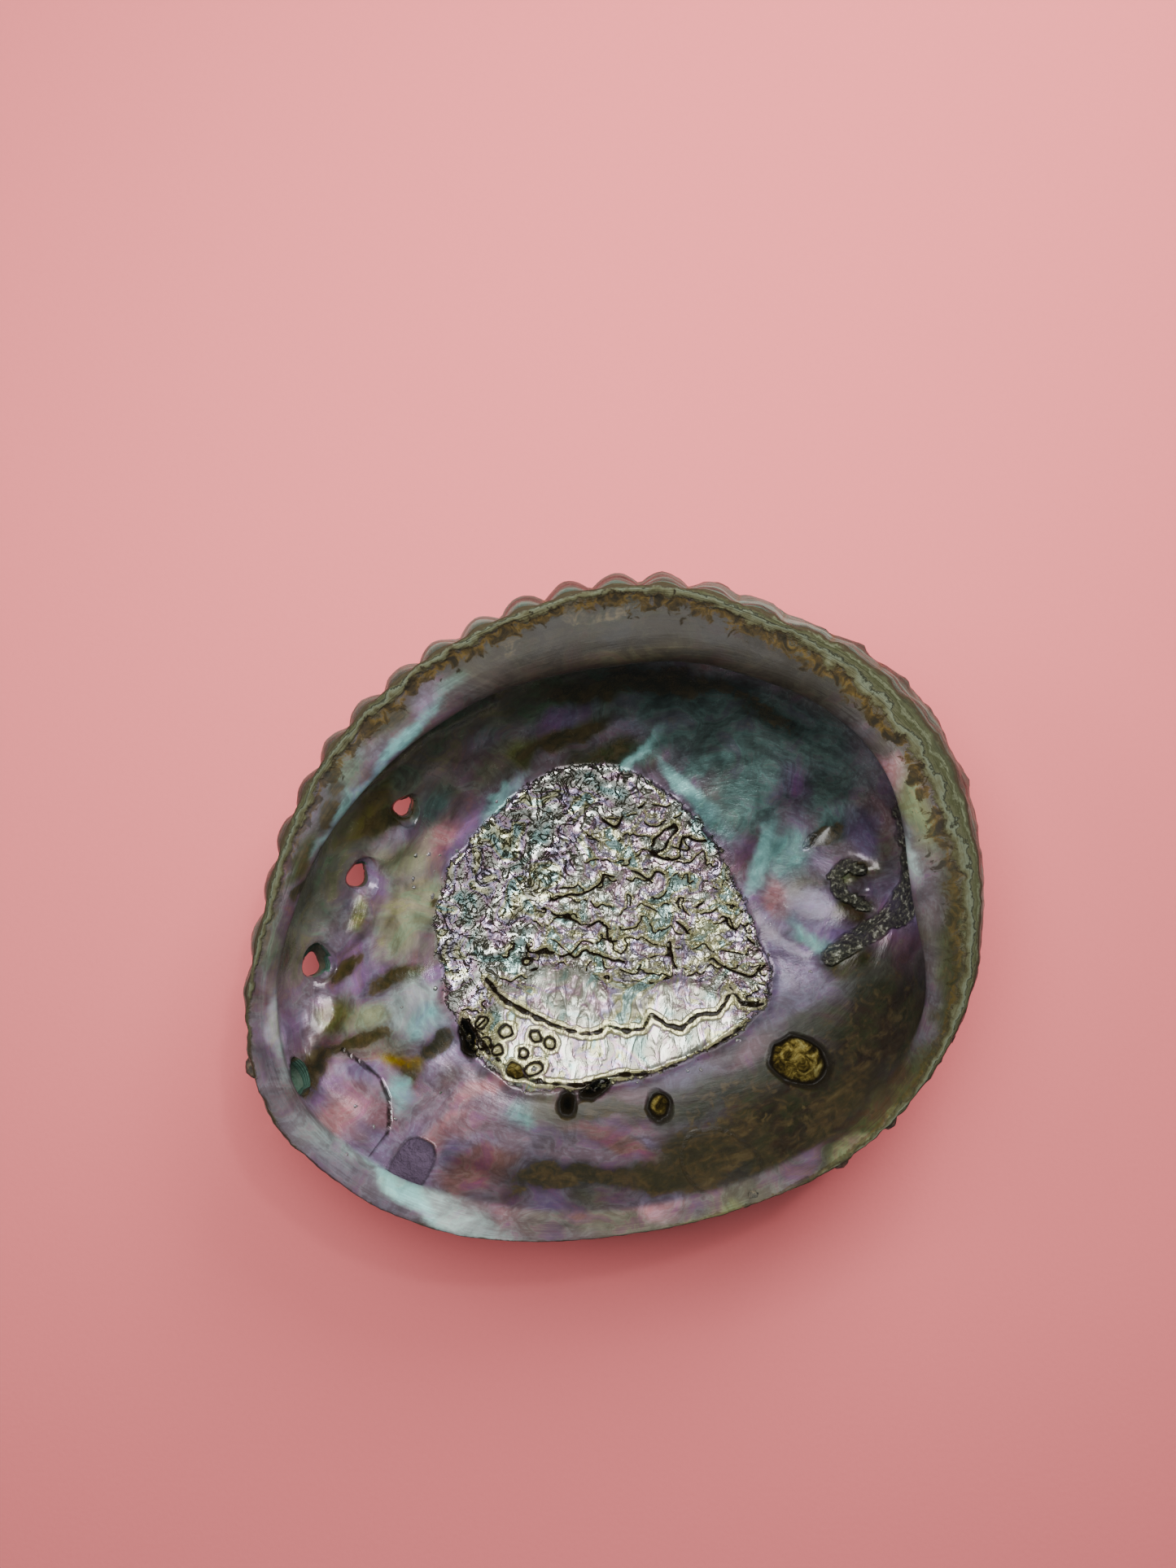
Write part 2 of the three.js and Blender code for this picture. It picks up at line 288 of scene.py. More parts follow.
class Skin:
    """The shell's plain skin as rings of points round +Z, with each point's azimuth and section."""

    def __init__(self):
        self.azimuth, self.section, self.points, self.faces = [], [], [], []
        rings = [(at, SEGMENTS // part) for at, part in self._ring_places()]
        starts = []
        total = 0
        for at, count in rings:
            azimuth = np.arange(count) * 360 / count
            distance, height = on_section(section_points(azimuth), at)
            angle = np.radians(azimuth)
            self.points.append(np.stack((distance * np.cos(angle), distance * np.sin(angle), height), 1))
            self.azimuth.append(azimuth)
            self.section.append(np.full(count, float(at)))
            starts.append(total)
            total += count
        for i in range(len(rings) - 1):
            self._bridge(starts[i], rings[i][1], starts[i + 1], rings[i + 1][1])
        self.points = np.concatenate(self.points)
        self.azimuth = np.concatenate(self.azimuth)
        self.section = np.concatenate(self.section)

    @staticmethod
    def _ring_places():
        places = [(0.0, SEGMENTS)]
        for start, end, rows, part in BANDS:
            places += [(mix(start, end, (k + 1) / rows), part) for k in range(rows)]
        places[-1] = (places[-1][0], SEGMENTS)
        return places

    def _bridge(self, a, a_count, b, b_count):
        """Fills between two rings; the counts are alike, or one is twice the other or a pole."""
        wide = max(a_count, b_count)
        for s in range(wide):
            a0, a1 = (a + (k % wide) * a_count // wide for k in (s, s + 1))
            b0, b1 = (b + (k % wide) * b_count // wide for k in (s, s + 1))
            face = [a0, b0, b1, a1]
            self.faces.append([v for i, v in enumerate(face) if v != face[i - 1]])


def scar_depth(points):
    """How far inside the muscle's scar a point lies, seen from above; negative outside it."""
    x, y = points[:, 0] - SCAR_MIDDLE[0], points[:, 1] - SCAR_MIDDLE[1]
    azimuth = np.degrees(np.arctan2(y, x))
    ragged = rough(points * (1, 1, 0), 5.0, 3) * 1.4
    return around(SCAR_REACH, azimuth) - np.hypot(x, y) + ragged


# ---- Relief and markings ---------------------------------------------------------------------

# The pearl's tones, each with how much dark horn shows through it, from 0 to 1.
PEARL_TONES = {
    "ink": ("#23261F", 0.95),
    "umber": ("#46391F", 0.9),
    "olive": ("#3C3720", 0.55),
    "bronze": ("#5A5034", 0.5),
    "khaki": ("#706A50", 0.25),
    "amber": ("#7A5216", 0.5),
    "straw": ("#8E8A74", 0.2),
    "orchid": ("#8A7082", 0.1),
    "smoke": ("#5E5C52", 0.25),
    "slate": ("#56605C", 0.15),
    "teal": ("#687A75", 0.0),
    "sea": ("#7FA09C", 0.0),
    "mint": ("#A8D2C8", 0.0),
    "silver": ("#9EA3A1", 0.0),
    "dusk": ("#62564F", 0.15),
    "mauve": ("#463A34", 0.25),
    "moss": ("#5C6050", 0.1),
    "lilac": ("#80708C", 0.0),
    "violet": ("#62546E", 0.0),
    "rose": ("#866474", 0.0),
    "pink": ("#A87A8A", 0.0),
    "coral": ("#8E6066", 0.05),
}
# Patches of tone in the bowl: tone, middle, half-length, half-width and turn in degrees.
BOWL_PATCHES = (
    # the wall under the shelf, from the pores round the top to the spire
    ("moss", (-70, 8), 36, 9, 68),
    ("smoke", (-48, 36), 26, 11, 45),
    ("moss", (-16, 50), 30, 9, 12),
    ("slate", (20, 48), 32, 9, -8),
    # painted shade: this dark band and the one at (38, 46) lie just under the shelf's overhanging edge
    ("ink", (14, 53), 18, 3, -4),
    ("slate", (48, 41), 22, 8, -38),
    # painted shade under the shelf's overhanging edge
    ("ink", (38, 46), 12, 3, -25),
    ("smoke", (-34, 44), 16, 3, 40),
    ("umber", (-6, 51), 12, 2.5, 4),
    ("bronze", (-60, 22), 12, 3, 60),
    # streaks above the scar
    ("violet", (-14, 44), 9, 2.4, 25),
    ("dusk", (-28, 33), 12, 4, 40),
    ("bronze", (-22, 36), 4, 2.6, 50),
    ("umber", (-12, 40), 12, 2.2, 24),
    ("olive", (-2, 36), 14, 4, 10),
    ("teal", (14, 40), 12, 3, 30),
    ("slate", (30, 37), 18, 11, -15),
    ("teal", (26, 34), 10, 2.2, 35),
    ("mint", (21, 27), 10, 1.8, -42),
    ("sea", (26, 20), 9, 2.0, -50),
    ("teal", (36, 24), 12, 8, 60),
    ("mint", (4, 34), 10, 1.4, 40),
    # the floor between the pores and the scar
    ("mint", (-31, 20), 12, 1.8, 52),
    ("lilac", (-36, 14), 9, 3, 60),
    ("violet", (-41, 1), 12, 1.8, 76),
    ("pink", (-43, 13), 6, 4, 40),
    ("slate", (-47, 22), 6, 4, 50),
    ("straw", (-50, 9), 7, 6, 20),
    ("straw", (-47, -2), 6, 7, 0),
    ("umber", (-44, -4), 1.6, 1.6, 0),
    ("rose", (-40, -6), 3, 8, 10),
    ("straw", (-53, -8), 9, 6, 60),
    ("bronze", (-61, -4), 6, 3, 60),
    ("umber", (-56, 20), 6, 4, 30),
    ("umber", (-66, -16), 5, 2.5, 40),
    ("umber", (-55, -20), 7, 2.2, 12),
    ("olive", (-47, -21), 5, 4, 0),
    ("dusk", (-43, -13), 5, 5, 0),
    ("silver", (-49, -28), 9, 6.5, 15),
    ("lilac", (-44, -20), 4, 3, 30),
    ("sea", (-46, -31), 5, 3, 20),
    ("rose", (-40, -24), 2.5, 6, 0),
    ("bronze", (-66, -26), 4, 5, 70),
    ("straw", (-60, -28), 4, 4, 30),
    ("umber", (-62, -34), 9, 2.2, 10),
    ("ink", (-45.5, -37), 6.5, 2.4, 30),
    ("amber", (-54.5, -40), 6, 2.0, -8),
    ("umber", (-54, -45), 6.5, 4, 10),
    ("ink", (-72, -39), 8, 4, 60),
    # the lower left and the lip
    ("orchid", (-58, -46), 10, 5, -40),
    ("lilac", (-62, -42), 5, 3, -10),
    ("rose", (-56, -51), 6, 3, -35),
    ("sea", (-52, -47), 5, 3, -30),
    ("pink", (-65, -50), 5, 5, 0),
    ("orchid", (-35, -52), 13, 8, -10),
    ("pink", (-40, -57), 7, 3, 20),
    ("rose", (-34, -58), 8, 3, 0),
    ("pink", (-32, -48), 7, 2.5, 20),
    ("sea", (-22, -55), 4, 3, 0),
    ("orchid", (-24, -60), 6, 2.6, 0),
    ("dusk", (-14, -53), 8, 4, 0),
    ("coral", (-1, -58), 13, 2.2, -22),
    ("rose", (2, -54), 12, 2.0, -20),
    ("coral", (-32, -64), 9, 2.2, 5),
    ("ink", (-10, -66.5), 17, 2.6, 3),
    ("umber", (12, -66), 10, 2.6, 3),
    ("orchid", (-6, -62), 10, 2.4, -5),
    # under the scar and the lower right
    ("rose", (3, -50), 12, 2.6, 0),
    ("dusk", (20, -50), 13, 4.5, 18),
    ("rose", (34, -40), 9, 3, 40),
    ("lilac", (46, -22), 8, 7, 20),
    ("violet", (42, -15), 4, 4, 20),
    ("coral", (52, -32), 6, 1.6, 8),
    ("dusk", (50, -33), 8, 4, 10),
    ("olive", (44, -54), 22, 12, 42),
    ("olive", (62, -30), 22, 10, 60),
    ("olive", (36, -50), 16, 7, 35),
    ("olive", (58, -16), 7, 5, 40),
    ("umber", (22, -60), 14, 6, 8),
    ("umber", (52, -49), 12, 2, 45),
    ("umber", (-2, -52.5), 12, 2.4, 0),
    ("olive", (22, -49.5), 12, 3.4, 20),
    # the spire's dish
    ("sea", (45, 10), 8, 6, 72),
    ("mint", (39, 10), 10, 2, 76),
    ("dusk", (50, 0), 6, 6, 0),
    ("sea", (47, -8), 8, 1.6, -60),
    ("lilac", (52, -6), 6, 4.5, -20),
    ("sea", (50, -12), 5, 2, -10),
    ("pink", (43, -1), 2.4, 5, 20),
    ("slate", (54, 26), 8, 7, 0),
    ("violet", (46, 28), 4, 5, 0),
    ("teal", (57, 18), 5, 5, 0),
    ("violet", (62, 15), 5, 7, 0),
    ("ink", (55, 15.5), 5.5, 2.8, 48),
    ("olive", (60, -4), 6, 4, 10),
    ("umber", (61, 6), 3, 2, 60),
    ("khaki", (57.5, 3.5), 2, 2.4, 30),
    ("violet", (50, -3), 6, 4.4, 20),
)
# The same on the shelf and the lip.
SHELF_PATCHES = (
    ("sea", (-44, 40), 36, 1.5, 47),
    ("teal", (-66, 8), 30, 1.6, 70),
    ("umber", (-21, 60), 4.5, 4.5, 0),
    ("dusk", (-30, 55), 6, 4, 20),
    ("umber", (-50, 43), 6, 3, 50),
    ("lilac", (-40, 48), 5, 3, 45),
    ("smoke", (-60, 32), 6, 4, 50),
    ("ink", (-65, 22), 4, 2, 60),
    ("ink", (-62, 28), 3, 1.6, 30),
    ("ink", (-67, 12), 3, 1.4, 60),
    ("ink", (-70, 6), 4, 1.2, 70),
    ("olive", (-71, 12), 7, 2, 66),
    ("smoke", (-76, -8), 9, 2.4, 82),
    ("silver", (-76, -28), 9, 2, 95),
    ("mauve", (6, 62), 34, 11, 0),
    ("mauve", (38, 54), 22, 9, -30),
    ("dusk", (4, 58), 14, 2.0, 4),
    ("olive", (-6, 66), 16, 1.6, 4),
    ("umber", (57, 43), 6, 3, -45),
    ("bronze", (46, 52), 12, 2, -38),
    ("pink", (60, 30), 5, 3, -60),
    ("khaki", (66, 22), 10, 3, -66),
    ("silver", (64, 12), 6, 2, -76),
    ("olive", (73, -8), 26, 3.5, 90),
    ("khaki", (77, 0), 20, 2.2, 90),
    ("olive", (62, -42), 30, 5, 52),
    ("khaki", (52, -58), 26, 2.2, 44),
    ("silver", (-42, -66), 30, 4, -32),
    ("mint", (-50, -63), 12, 2, -38),
    ("rose", (-24, -69), 9, 2.4, -14),
    ("dusk", (0, -72), 22, 4, -3),
    ("pink", (6, -70), 9, 2, 2),
    ("dusk", (28, -68), 14, 2.4, 16),
    ("khaki", (24, -71), 16, 1.8, 14),
)

# Healed outlines in the pearl: middle, half-length, half-width, turn, depth in the surface, and
# the tone of what lies inside (0 black, 0.35 amber, 0.65 violet, 1 as the pearl round it).
PLATES = (
    ((46.4, -40.4), 6.2, 5.0, 10, 1.3, 0.35),
    ((11.8, -52.6), 2.6, 3.1, 20, 1.0, 0.3),
    ((-11.1, -52.6), 1.9, 2.3, 0, 1.0, 0.0),
    ((-4.0, -49.2), 3.6, 1.7, 25, 0.8, 0.0),
    ((-47.6, -62.0), 5.2, 4.4, -10, 0.4, 0.65),
    ((25.0, -62.0), 8.6, 5.6, 4, 0.3, 1.0),
    ((51.2, 13.2), 2.2, 0.9, 55, 0.1, 1.0),
    ((-36.4, -36.5), 1.8, 4.4, 15, 1.2, 0.0),
    ((-27.0, -35.0), 1.7, 1.4, 0, -0.5, 1.0),
    ((-32.2, -37.6), 1.7, 1.5, 20, -0.5, 1.0),
    ((-19.4, -36.4), 1.5, 1.4, 0, -0.5, 1.0),
    ((-15.6, -38.0), 1.4, 1.5, 0, -0.5, 1.0),
    ((-22.4, -40.6), 1.2, 1.2, 0, -0.4, 1.0),
    ((-28.8, -39.6), 1.3, 1.2, 0, -0.4, 1.0),
    ((-19.8, -44.2), 2.3, 1.5, 20, -0.4, 1.0),
    ((-24.6, -44.6), 2.2, 1.7, -20, 0.5, 0.2),
    ((-33.0, -32.6), 1.6, 1.3, 40, -0.5, 1.0),
)

# Where the bowl's surface stands proud: middle, half-length, half-width, turn and height.
SWELLINGS = (
    ((-47.0, 31.0), 8, 4, 45, 1.6),
    ((-57.5, 13.0), 8, 4.6, 35, 2.4),
    ((-65.5, -6.5), 8, 4.6, 25, 2.4),
    ((-70.5, -29.0), 7, 5, 20, 1.8),
    ((-51.0, -28.0), 10, 7, 15, 1.0),
    ((-58.0, -49.0), 12, 7, -30, 0.8),
    ((-48.0, -42.0), 6, 3, 10, -0.8),
    ((-57.0, -20.0), 10, 3, 12, -1.2),
    ((60.4, 3.4), 3.4, 2.4, 60, 1.2),
    ((62.6, 1.6), 2.2, 2.6, 0, -1.6),
    ((54.5, 17.0), 3.5, 1.8, 48, -1.0),
    ((60.0, -17.5), 9, 2.2, 12, 0.6),
    ((66.0, -9.0), 8, 2.0, 75, 1.4),
    ((-22.0, 36.0), 4, 2.6, 50, 0.5),
)

# A healed crack at the lower left, seen from above.
CRACK = ((-65.2, -36.1), (-61, -39.5), (-56.5, -43.5), (-54.2, -48), (-53.6, -53), (-54, -56), (-56.3, -58.3))

# Ridges that stand on the inner surface: half-width, height, how gritty they are, and their line.
RIDGES = (
    (2.3, 1.6, 0.8, ((71, 22), (74, 12), (74.5, 4), (70, -4), (62, -10.5), (55, -15))),
    (2.8, 0.3, 0.0, ((37, 4), (39, -4), (43, -11), (49, -15), (56, -14))),
    (1.6, 1.6, 1.0, ((64, -3), (58.5, 0), (57, 4), (59.5, 7.5), (63, 6))),
    (2.2, 1.3, 0.0, ((-50, 21), (-53, 13), (-59, 9.5))),
    (2.4, 1.6, 0.0, ((-60, 3), (-61.5, -5), (-67, -12))),
    (2.2, 1.5, 0.0, ((-69, -20), (-67, -27), (-72, -37))),
    (1.6, 0.9, 0.0, ((-55, 6), (-56, -4), (-60, -12))),
    (1.8, 1.0, 0.0, ((-64, -28), (-57, -33), (-48, -35))),
    (1.1, 0.9, 0.0, ((-60, 27), (-46, 40), (-30, 48))),
)

# The long edges of the broadest plates on the scar, seen from above.
LEDGES = (
    ((-32, -22), (-28, -27), (-23, -30), (-17.5, -32.6), (-12.7, -34.6), (-7.5, -36), (-3, -35.6),
     (-1.2, -34), (4, -35.2), (8.2, -34.6), (10, -31)),
    ((10.3, -31), (14, -33.6), (18, -34.4), (22, -31), (27, -30.6), (29.4, -27), (31, -24.8)),
    ((30, -23.5), (33, -28), (38.5, -28)),
    ((-36, -33), (-31, -40), (-24, -45.6), (-17, -47.6), (-8, -48.4), (2, -45.8), (10, -46), (16, -43.6),
     (22, -41.6), (28, -37.5), (34, -33)),
)

# Small pearls on the nacre, seen from above.
BLISTERS = (
    (-52.3, -27.5), (-44.6, -23.9), (-61.5, -48.8), (-42.3, -48.4), (-30.1, -41.5), (-19.8, -44.0),
    (-15.0, -44.7), (-2.6, -47.5), (6.6, -47.6), (-57.1, -53.7), (-52.4, -52.7), (-61.0, -56.3),
    (19.0, -44.3), (22.6, -44.0), (32.0, -36.9), (50.0, -19.4), (-29.4, 23.5), (-24.8, 22.4),
    (-49.3, 9.9), (-46.4, 10.3), (-43.5, 9.8), (-39.6, 10.7), (-50.1, 4.1), (-45.0, 6.0),
    (-45.5, -0.6), (-50.0, 2.0), (-43.0, 3.6), (-38.2, -28.0), (-35.0, -31.0), (-32.2, -30.0),
)

# Worm tubes and lime lumps on the outer edge: azimuth, how far in from the edge, and size.
GROWTHS = (
    (-66.5, 0.6, 1.0), (-65.0, 1.4, 0.8), (-49.0, 0.3, 1.3), (-47.4, 1.0, 0.9), (-46.2, 0.4, 0.7),
    (-38.0, 0.4, 1.1), (-36.4, 1.2, 1.2), (-34.8, 0.5, 0.8), (-22.0, 0.6, 1.0), (-20.6, 0.9, 0.7),
    (-57.0, 0.8, 0.7), (-29.0, 0.7, 0.6), (204.0, 0.2, 1.6), (205.6, 1.0, 1.2), (202.6, 0.9, 1.1),
    (206.8, 0.4, 0.8), (24.0, 0.8, 0.6), (38.0, 0.7, 0.7), (52.0, 0.8, 0.6),
)

# What the bowl and the shelf are where no patch lies.
GROUND = ("dusk", "rose", "lilac", "mauve")

# The play of colour as the pearl's films thicken.
FILM_COLOURS = (
    "#4E5A50", "#6A8A7C", "#9CC8B6", "#A8A8A2", "#988C9C", "#8A7AA0", "#A8749A", "#B48A8A", "#A0946A",
)


def oval(points, middle, along, across, turn):
    """How far out a point lies in a turned oval seen from above: 0 in its middle, 1 on its edge."""
    x, y = points[:, 0] - middle[0], points[:, 1] - middle[1]
    c, s = math.cos(math.radians(turn)), math.sin(math.radians(turn))
    return np.hypot((x * c + y * s) / along, (y * c - x * s) / across)


def painted(points, patches, tones):
    """The tones after each patch has pulled them its way, with soft and ragged edges."""
    flat = points * (1, 1, 0.5)
    shift = [rough(flat, 13, seed) * 4 + rough(flat, 3.5, seed + 9) * 1.6 for seed in (1, 2)]
    warped = points.copy()
    warped[:, :2] += np.stack(shift, 1)
    for tone, middle, along, across, turn in patches:
        colour, horn = PEARL_TONES[tone]
        target = np.array((*linear(colour)[:3], horn))
        pull = 1 - smoothstep(oval(warped, middle, along, across, turn), 0.35, 1.45)
        tones = mix(tones, target, pull[:, None])
    return tones


def pearl_tones(points, section):
    """The pearl's colour and how much horn shows through, at each point of the inner surface."""
    flat = points * (1, 1, 0.6)
    ground = [np.array((*linear(PEARL_TONES[name][0])[:3], PEARL_TONES[name][1])) for name in GROUND]
    lean = np.clip(0.5 + 1.1 * rough(flat, 16, 21), 0, 1)[:, None]
    cool = np.clip(0.5 + 1.3 * rough(flat, 9, 25), 0, 1)[:, None]
    start = mix(mix(ground[0], ground[1], lean), ground[2], cool)
    bowl = painted(points, BOWL_PATCHES, start)
    shelf = painted(points, SHELF_PATCHES, mix(start, ground[3], 0.65))
    # the bowl's tones are darker over the lip's slope and lighter on the left floor, and the shelf's
    # darker towards its top
    bowl[:, :3] *= 1 - 0.6 * smoothstep(0.45 * points[:, 0] - points[:, 1], 34, 52)[:, None]
    left = smoothstep(-points[:, 0], 34, 46) * (0.35 + 0.65 * smoothstep(points[:, 1], -52, -38))
    bowl[:, :3] *= 1 + 0.4 * left[:, None]
    shelf[:, :3] *= 1 - np.array((0.7, 0.77, 0.82)) * smoothstep(points[:, 1], 36, 54)[:, None]
    return mix(bowl, shelf, smoothstep(section, 6.6, 7.6)[:, None])


def plate_marks(points):
    """The signed distance to the nearest healed outline (negative inside), and its inner tone."""
    flat = points * (1, 1, 0)
    nearest = np.full(len(points), 99.0)
    tone = np.ones(len(points))
    sunk = np.zeros(len(points))
    for middle, along, across, turn, depth, inside in PLATES:
        edge = (oval(points, middle, along, across, turn) - 1) * (along + across) / 2
        edge = edge + rough(flat, min(along, across), 51) * (0.26 if across > 2 else 0.45) * across
        closer = np.abs(edge) < np.abs(nearest)
        nearest = np.where(closer, edge, nearest)
        tone = np.where(closer, inside, tone)
        sunk += depth * (1 - smoothstep(edge, -0.9, 0.3))
    return nearest, tone, sunk


def line_distance(points, line, waver, seed):
    """How far a point lies from a line drawn on the shell, seen from above."""
    nearest = np.full(len(points), 99.0)
    for (ax, ay), (bx, by) in itertools.pairwise(line):
        along = np.array((bx - ax, by - ay))
        x, y = points[:, 0] - ax, points[:, 1] - ay
        t = np.clip((x * along[0] + y * along[1]) / along.dot(along), 0, 1)
        nearest = np.minimum(nearest, np.hypot(x - t * along[0], y - t * along[1]))
    return nearest + waver * rough(points * (1, 1, 0), 1.8, seed)


def ridge_marks(points):
    """How high the ridges stand at each point, and how gritty it is there."""
    rise, grit = np.zeros(len(points)), np.zeros(len(points))
    for half, height, gritty, line in RIDGES:
        across = line_distance(points, line, 0.9, 97) / half
        here = np.exp(-np.clip(across, 0, 9) ** 2)
        rise += height * here
        patchy = smoothstep(rough(points, 4.0, 98), -0.3, 0.2)
        grit = np.maximum(grit, gritty * smoothstep(here, 0.15, 0.6) * (0.75 + 0.25 * patchy))
    return rise * (1 + 0.5 * grit * rough(points, 2.4, 99)), grit


def lowest_plates(points):
    """Where on the scar the broad smooth plates lie, from 0 to 1."""
    x, y = points[:, 0], points[:, 1]
    low = smoothstep(-y + 8 * rough(points * (1, 1, 0), 9, 96), 19, 25)
    return low * smoothstep(x, -33, -27) * (1 - smoothstep(x, 30, 36))


def inner_relief(points, section):
    """How far the inner surface moves along its normal for all that rises and sinks in it."""
    away = np.hypot(points[:, 0] - SPIRE[0], points[:, 1] - SPIRE[1]) / DISH_RADIUS
    rise = 1.2 * np.exp(-(((away - 1) / 0.22) ** 2)) - 5.0 * np.exp(-(away**4))
    inner = smoothstep(scar_depth(points), -0.4, 1.0)
    rise -= 0.9 * np.exp(-((scar_depth(points) / 1.1) ** 2)) * smoothstep(-points[:, 1], 10, 30)
    flat = points * (1, 1, 0)
    lumps = 0.7 * rough(flat, 6.0, 63) + 0.55 * np.abs(rough(flat, 3.2, 64)) + 0.3 * rough(flat, 1.8, 65)
    rise += inner * (0.6 + lumps * (1 - 0.75 * lowest_plates(points)))
    for middle, along, across, turn, height in SWELLINGS:
        rise += height * np.exp(-(oval(points, middle, along, across, turn) ** 2))
    rise += ridge_marks(points)[0] - plate_marks(points)[2]
    rise += 0.35 * rough(points, 14, 61)
    return rise * (1 - smoothstep(section, 6.5, 7.5))


def rim_relief(points, section):
    """The shelf's and lip's own unevenness."""
    shelf = smoothstep(section, 7.0, 8.0) * (1 - smoothstep(section, 12.0, 12.6))
    return 0.3 * rough(points, 9, 71) * shelf


# ---- Mesh and attribute helpers --------------------------------------------------------------


def make_mesh(name, points, faces):
    """A mesh from points in millimetres."""
    mesh = bpy.data.meshes.new(name)
    mesh.from_pydata((np.asarray(points) * MM).tolist(), [], faces)
    mesh.update()
    return mesh


def make_piece(name, mesh):
    """A scene object that shows a mesh."""
    piece = bpy.data.objects.new(name, mesh)
    bpy.context.scene.collection.objects.link(piece)
    return piece


def vectors(collection, field):
    """A field of three numbers read from every item of a mesh's collection."""
    values = np.empty(len(collection) * 3, np.float32)
    collection.foreach_get(field, values)
    return values.reshape(-1, 3).astype(float)


def store(mesh, name, values, kind="FLOAT", domain="POINT"):
    """Keeps a value for each point or face under a name."""
    attribute = mesh.attributes.get(name) or mesh.attributes.new(name, kind, domain)
    field = {"FLOAT_VECTOR": "vector", "FLOAT_COLOR": "color"}.get(kind, "value")
    number = np.int32 if kind == "INT" else np.float32
    attribute.data.foreach_set(field, np.ascontiguousarray(values, number).ravel())


def stored(mesh, name):
    """The number kept for each point under a name."""
    values = np.empty(len(mesh.vertices), np.float32)
    mesh.attributes[name].data.foreach_get("value", values)
    return values.astype(float)


# ---- Nodes -----------------------------------------------------------------------------------


def add_node(tree, kind, inputs=None, output=0, stops=None, **settings):
    """Adds a node with its settings, links and colour stops, and returns one of its outputs.

    A kind that names no family is a shader node, which a shape's tree takes as well.
    """
    made = tree.nodes.new(kind if "Node" in kind else "ShaderNode" + kind)
    for name, value in settings.items():
        setattr(made, name, value)
    for key, value in (inputs or {}).items():
        if isinstance(value, bpy.types.NodeSocket):
            tree.links.new(value, made.inputs[key])
        else:
            made.inputs[key].default_value = value
    if stops:
        elements = made.color_ramp.elements
        while len(elements) < len(stops):
            elements.new(1)
        for element, (position, colour) in zip(elements, stops):
            element.position = position
            element.color = linear(colour) if isinstance(colour, str) else (colour,) * 3 + (1,)
    return made.outputs[output] if len(made.outputs) else made


def flaked_plates(tree, place):
    """The plates that flake off the muscle's scar, the same in a shape's tree and in a shader's.

    The scar falls towards the lip in terraces like a map's contours: each plate's lower edge is
    lifted and its upper edge dives under the next plate. There are two sizes of plate. Returns the
    height in plate steps, and for each size how many millimetres a point lies above and below the
    nearest edges.
    """
    add = functools.partial(add_node, tree)
    flat = add("VectorMath", {0: place, 1: (1000, 1000, 0)}, operation="MULTIPLY")

    def level(at, pitch, swing):
        drift = add("TexNoise", {"Vector": at, "Scale": 0.7 / pitch, "Detail": 2.0, "Distortion": 0.5})
        sloped = add("Math", {0: add("SeparateXYZ", {0: at}, 1), 1: 1 / pitch}, operation="MULTIPLY")
        return add("Math", {0: drift, 1: swing, 2: sloped}, operation="MULTIPLY_ADD")

    # the slope is measured against places this far aside
    probe = 0.2
    heights, edges = [], []
    for pitch, swing, share in ((9.5, 3.6, 1.0), (5.5, 3.0, 0.5)):
        here = level(flat, pitch, swing)
        rises = []
        for step in ((probe, 0, 0), (0, probe, 0)):
            beside = level(add("VectorMath", {0: flat, 1: step}, operation="ADD"), pitch, swing)
            rises.append(add("Math", {0: beside, 1: here}, operation="SUBTRACT"))
        uphill = add("CombineXYZ", {0: rises[0], 1: rises[1]})
        slope = add("VectorMath", {0: uphill}, "Value", operation="LENGTH")
        steep = add("Math", {0: slope, 1: 0.02}, operation="MAXIMUM")
        part = add("Math", {0: here}, operation="FRACT")
        rest = add("Math", {0: 1.0, 1: part}, operation="SUBTRACT")
        heights.append(add("Math", {0: rest, 1: share}, operation="MULTIPLY"))
        above_and_below = []
        for phase in (part, rest):
            probes = add("Math", {0: phase, 1: steep}, operation="DIVIDE")
            above_and_below.append(add("Math", {0: probes, 1: probe}, operation="MULTIPLY"))
        edges.append(above_and_below)
    height = add("Math", {0: heights[0], 1: heights[1]}, operation="ADD")
    return height, edges


def shape_tree(name, sizes):
    """An empty tree that takes a geometry and named sizes, and gives a geometry."""
    tree = bpy.data.node_groups.new(name, "GeometryNodeTree")
    tree.interface.new_socket("Geometry", in_out="INPUT", socket_type="NodeSocketGeometry")
    for label, kind in sizes:
        tree.interface.new_socket(label, in_out="INPUT", socket_type=kind)
    tree.interface.new_socket("Geometry", in_out="OUTPUT", socket_type="NodeSocketGeometry")
    return tree


def evaluated(piece):
    """An object's mesh with its modifiers applied; the modifiers are then removed."""
    graph = bpy.context.evaluated_depsgraph_get()
    mesh = bpy.data.meshes.new_from_object(piece.evaluated_get(graph), depsgraph=graph)
    piece.modifiers.clear()
    return mesh


def shaped_by(piece, tree, values):
    """The plain mesh that a tree makes of an object, with the tree's sizes set by identifier."""
    modifier = piece.modifiers.new(tree.name, "NODES")
    modifier.node_group = tree
    for item in tree.interface.items_tree:
        if item.in_out == "INPUT" and item.name in values:
            modifier[item.identifier] = values[item.name]
    return evaluated(piece)


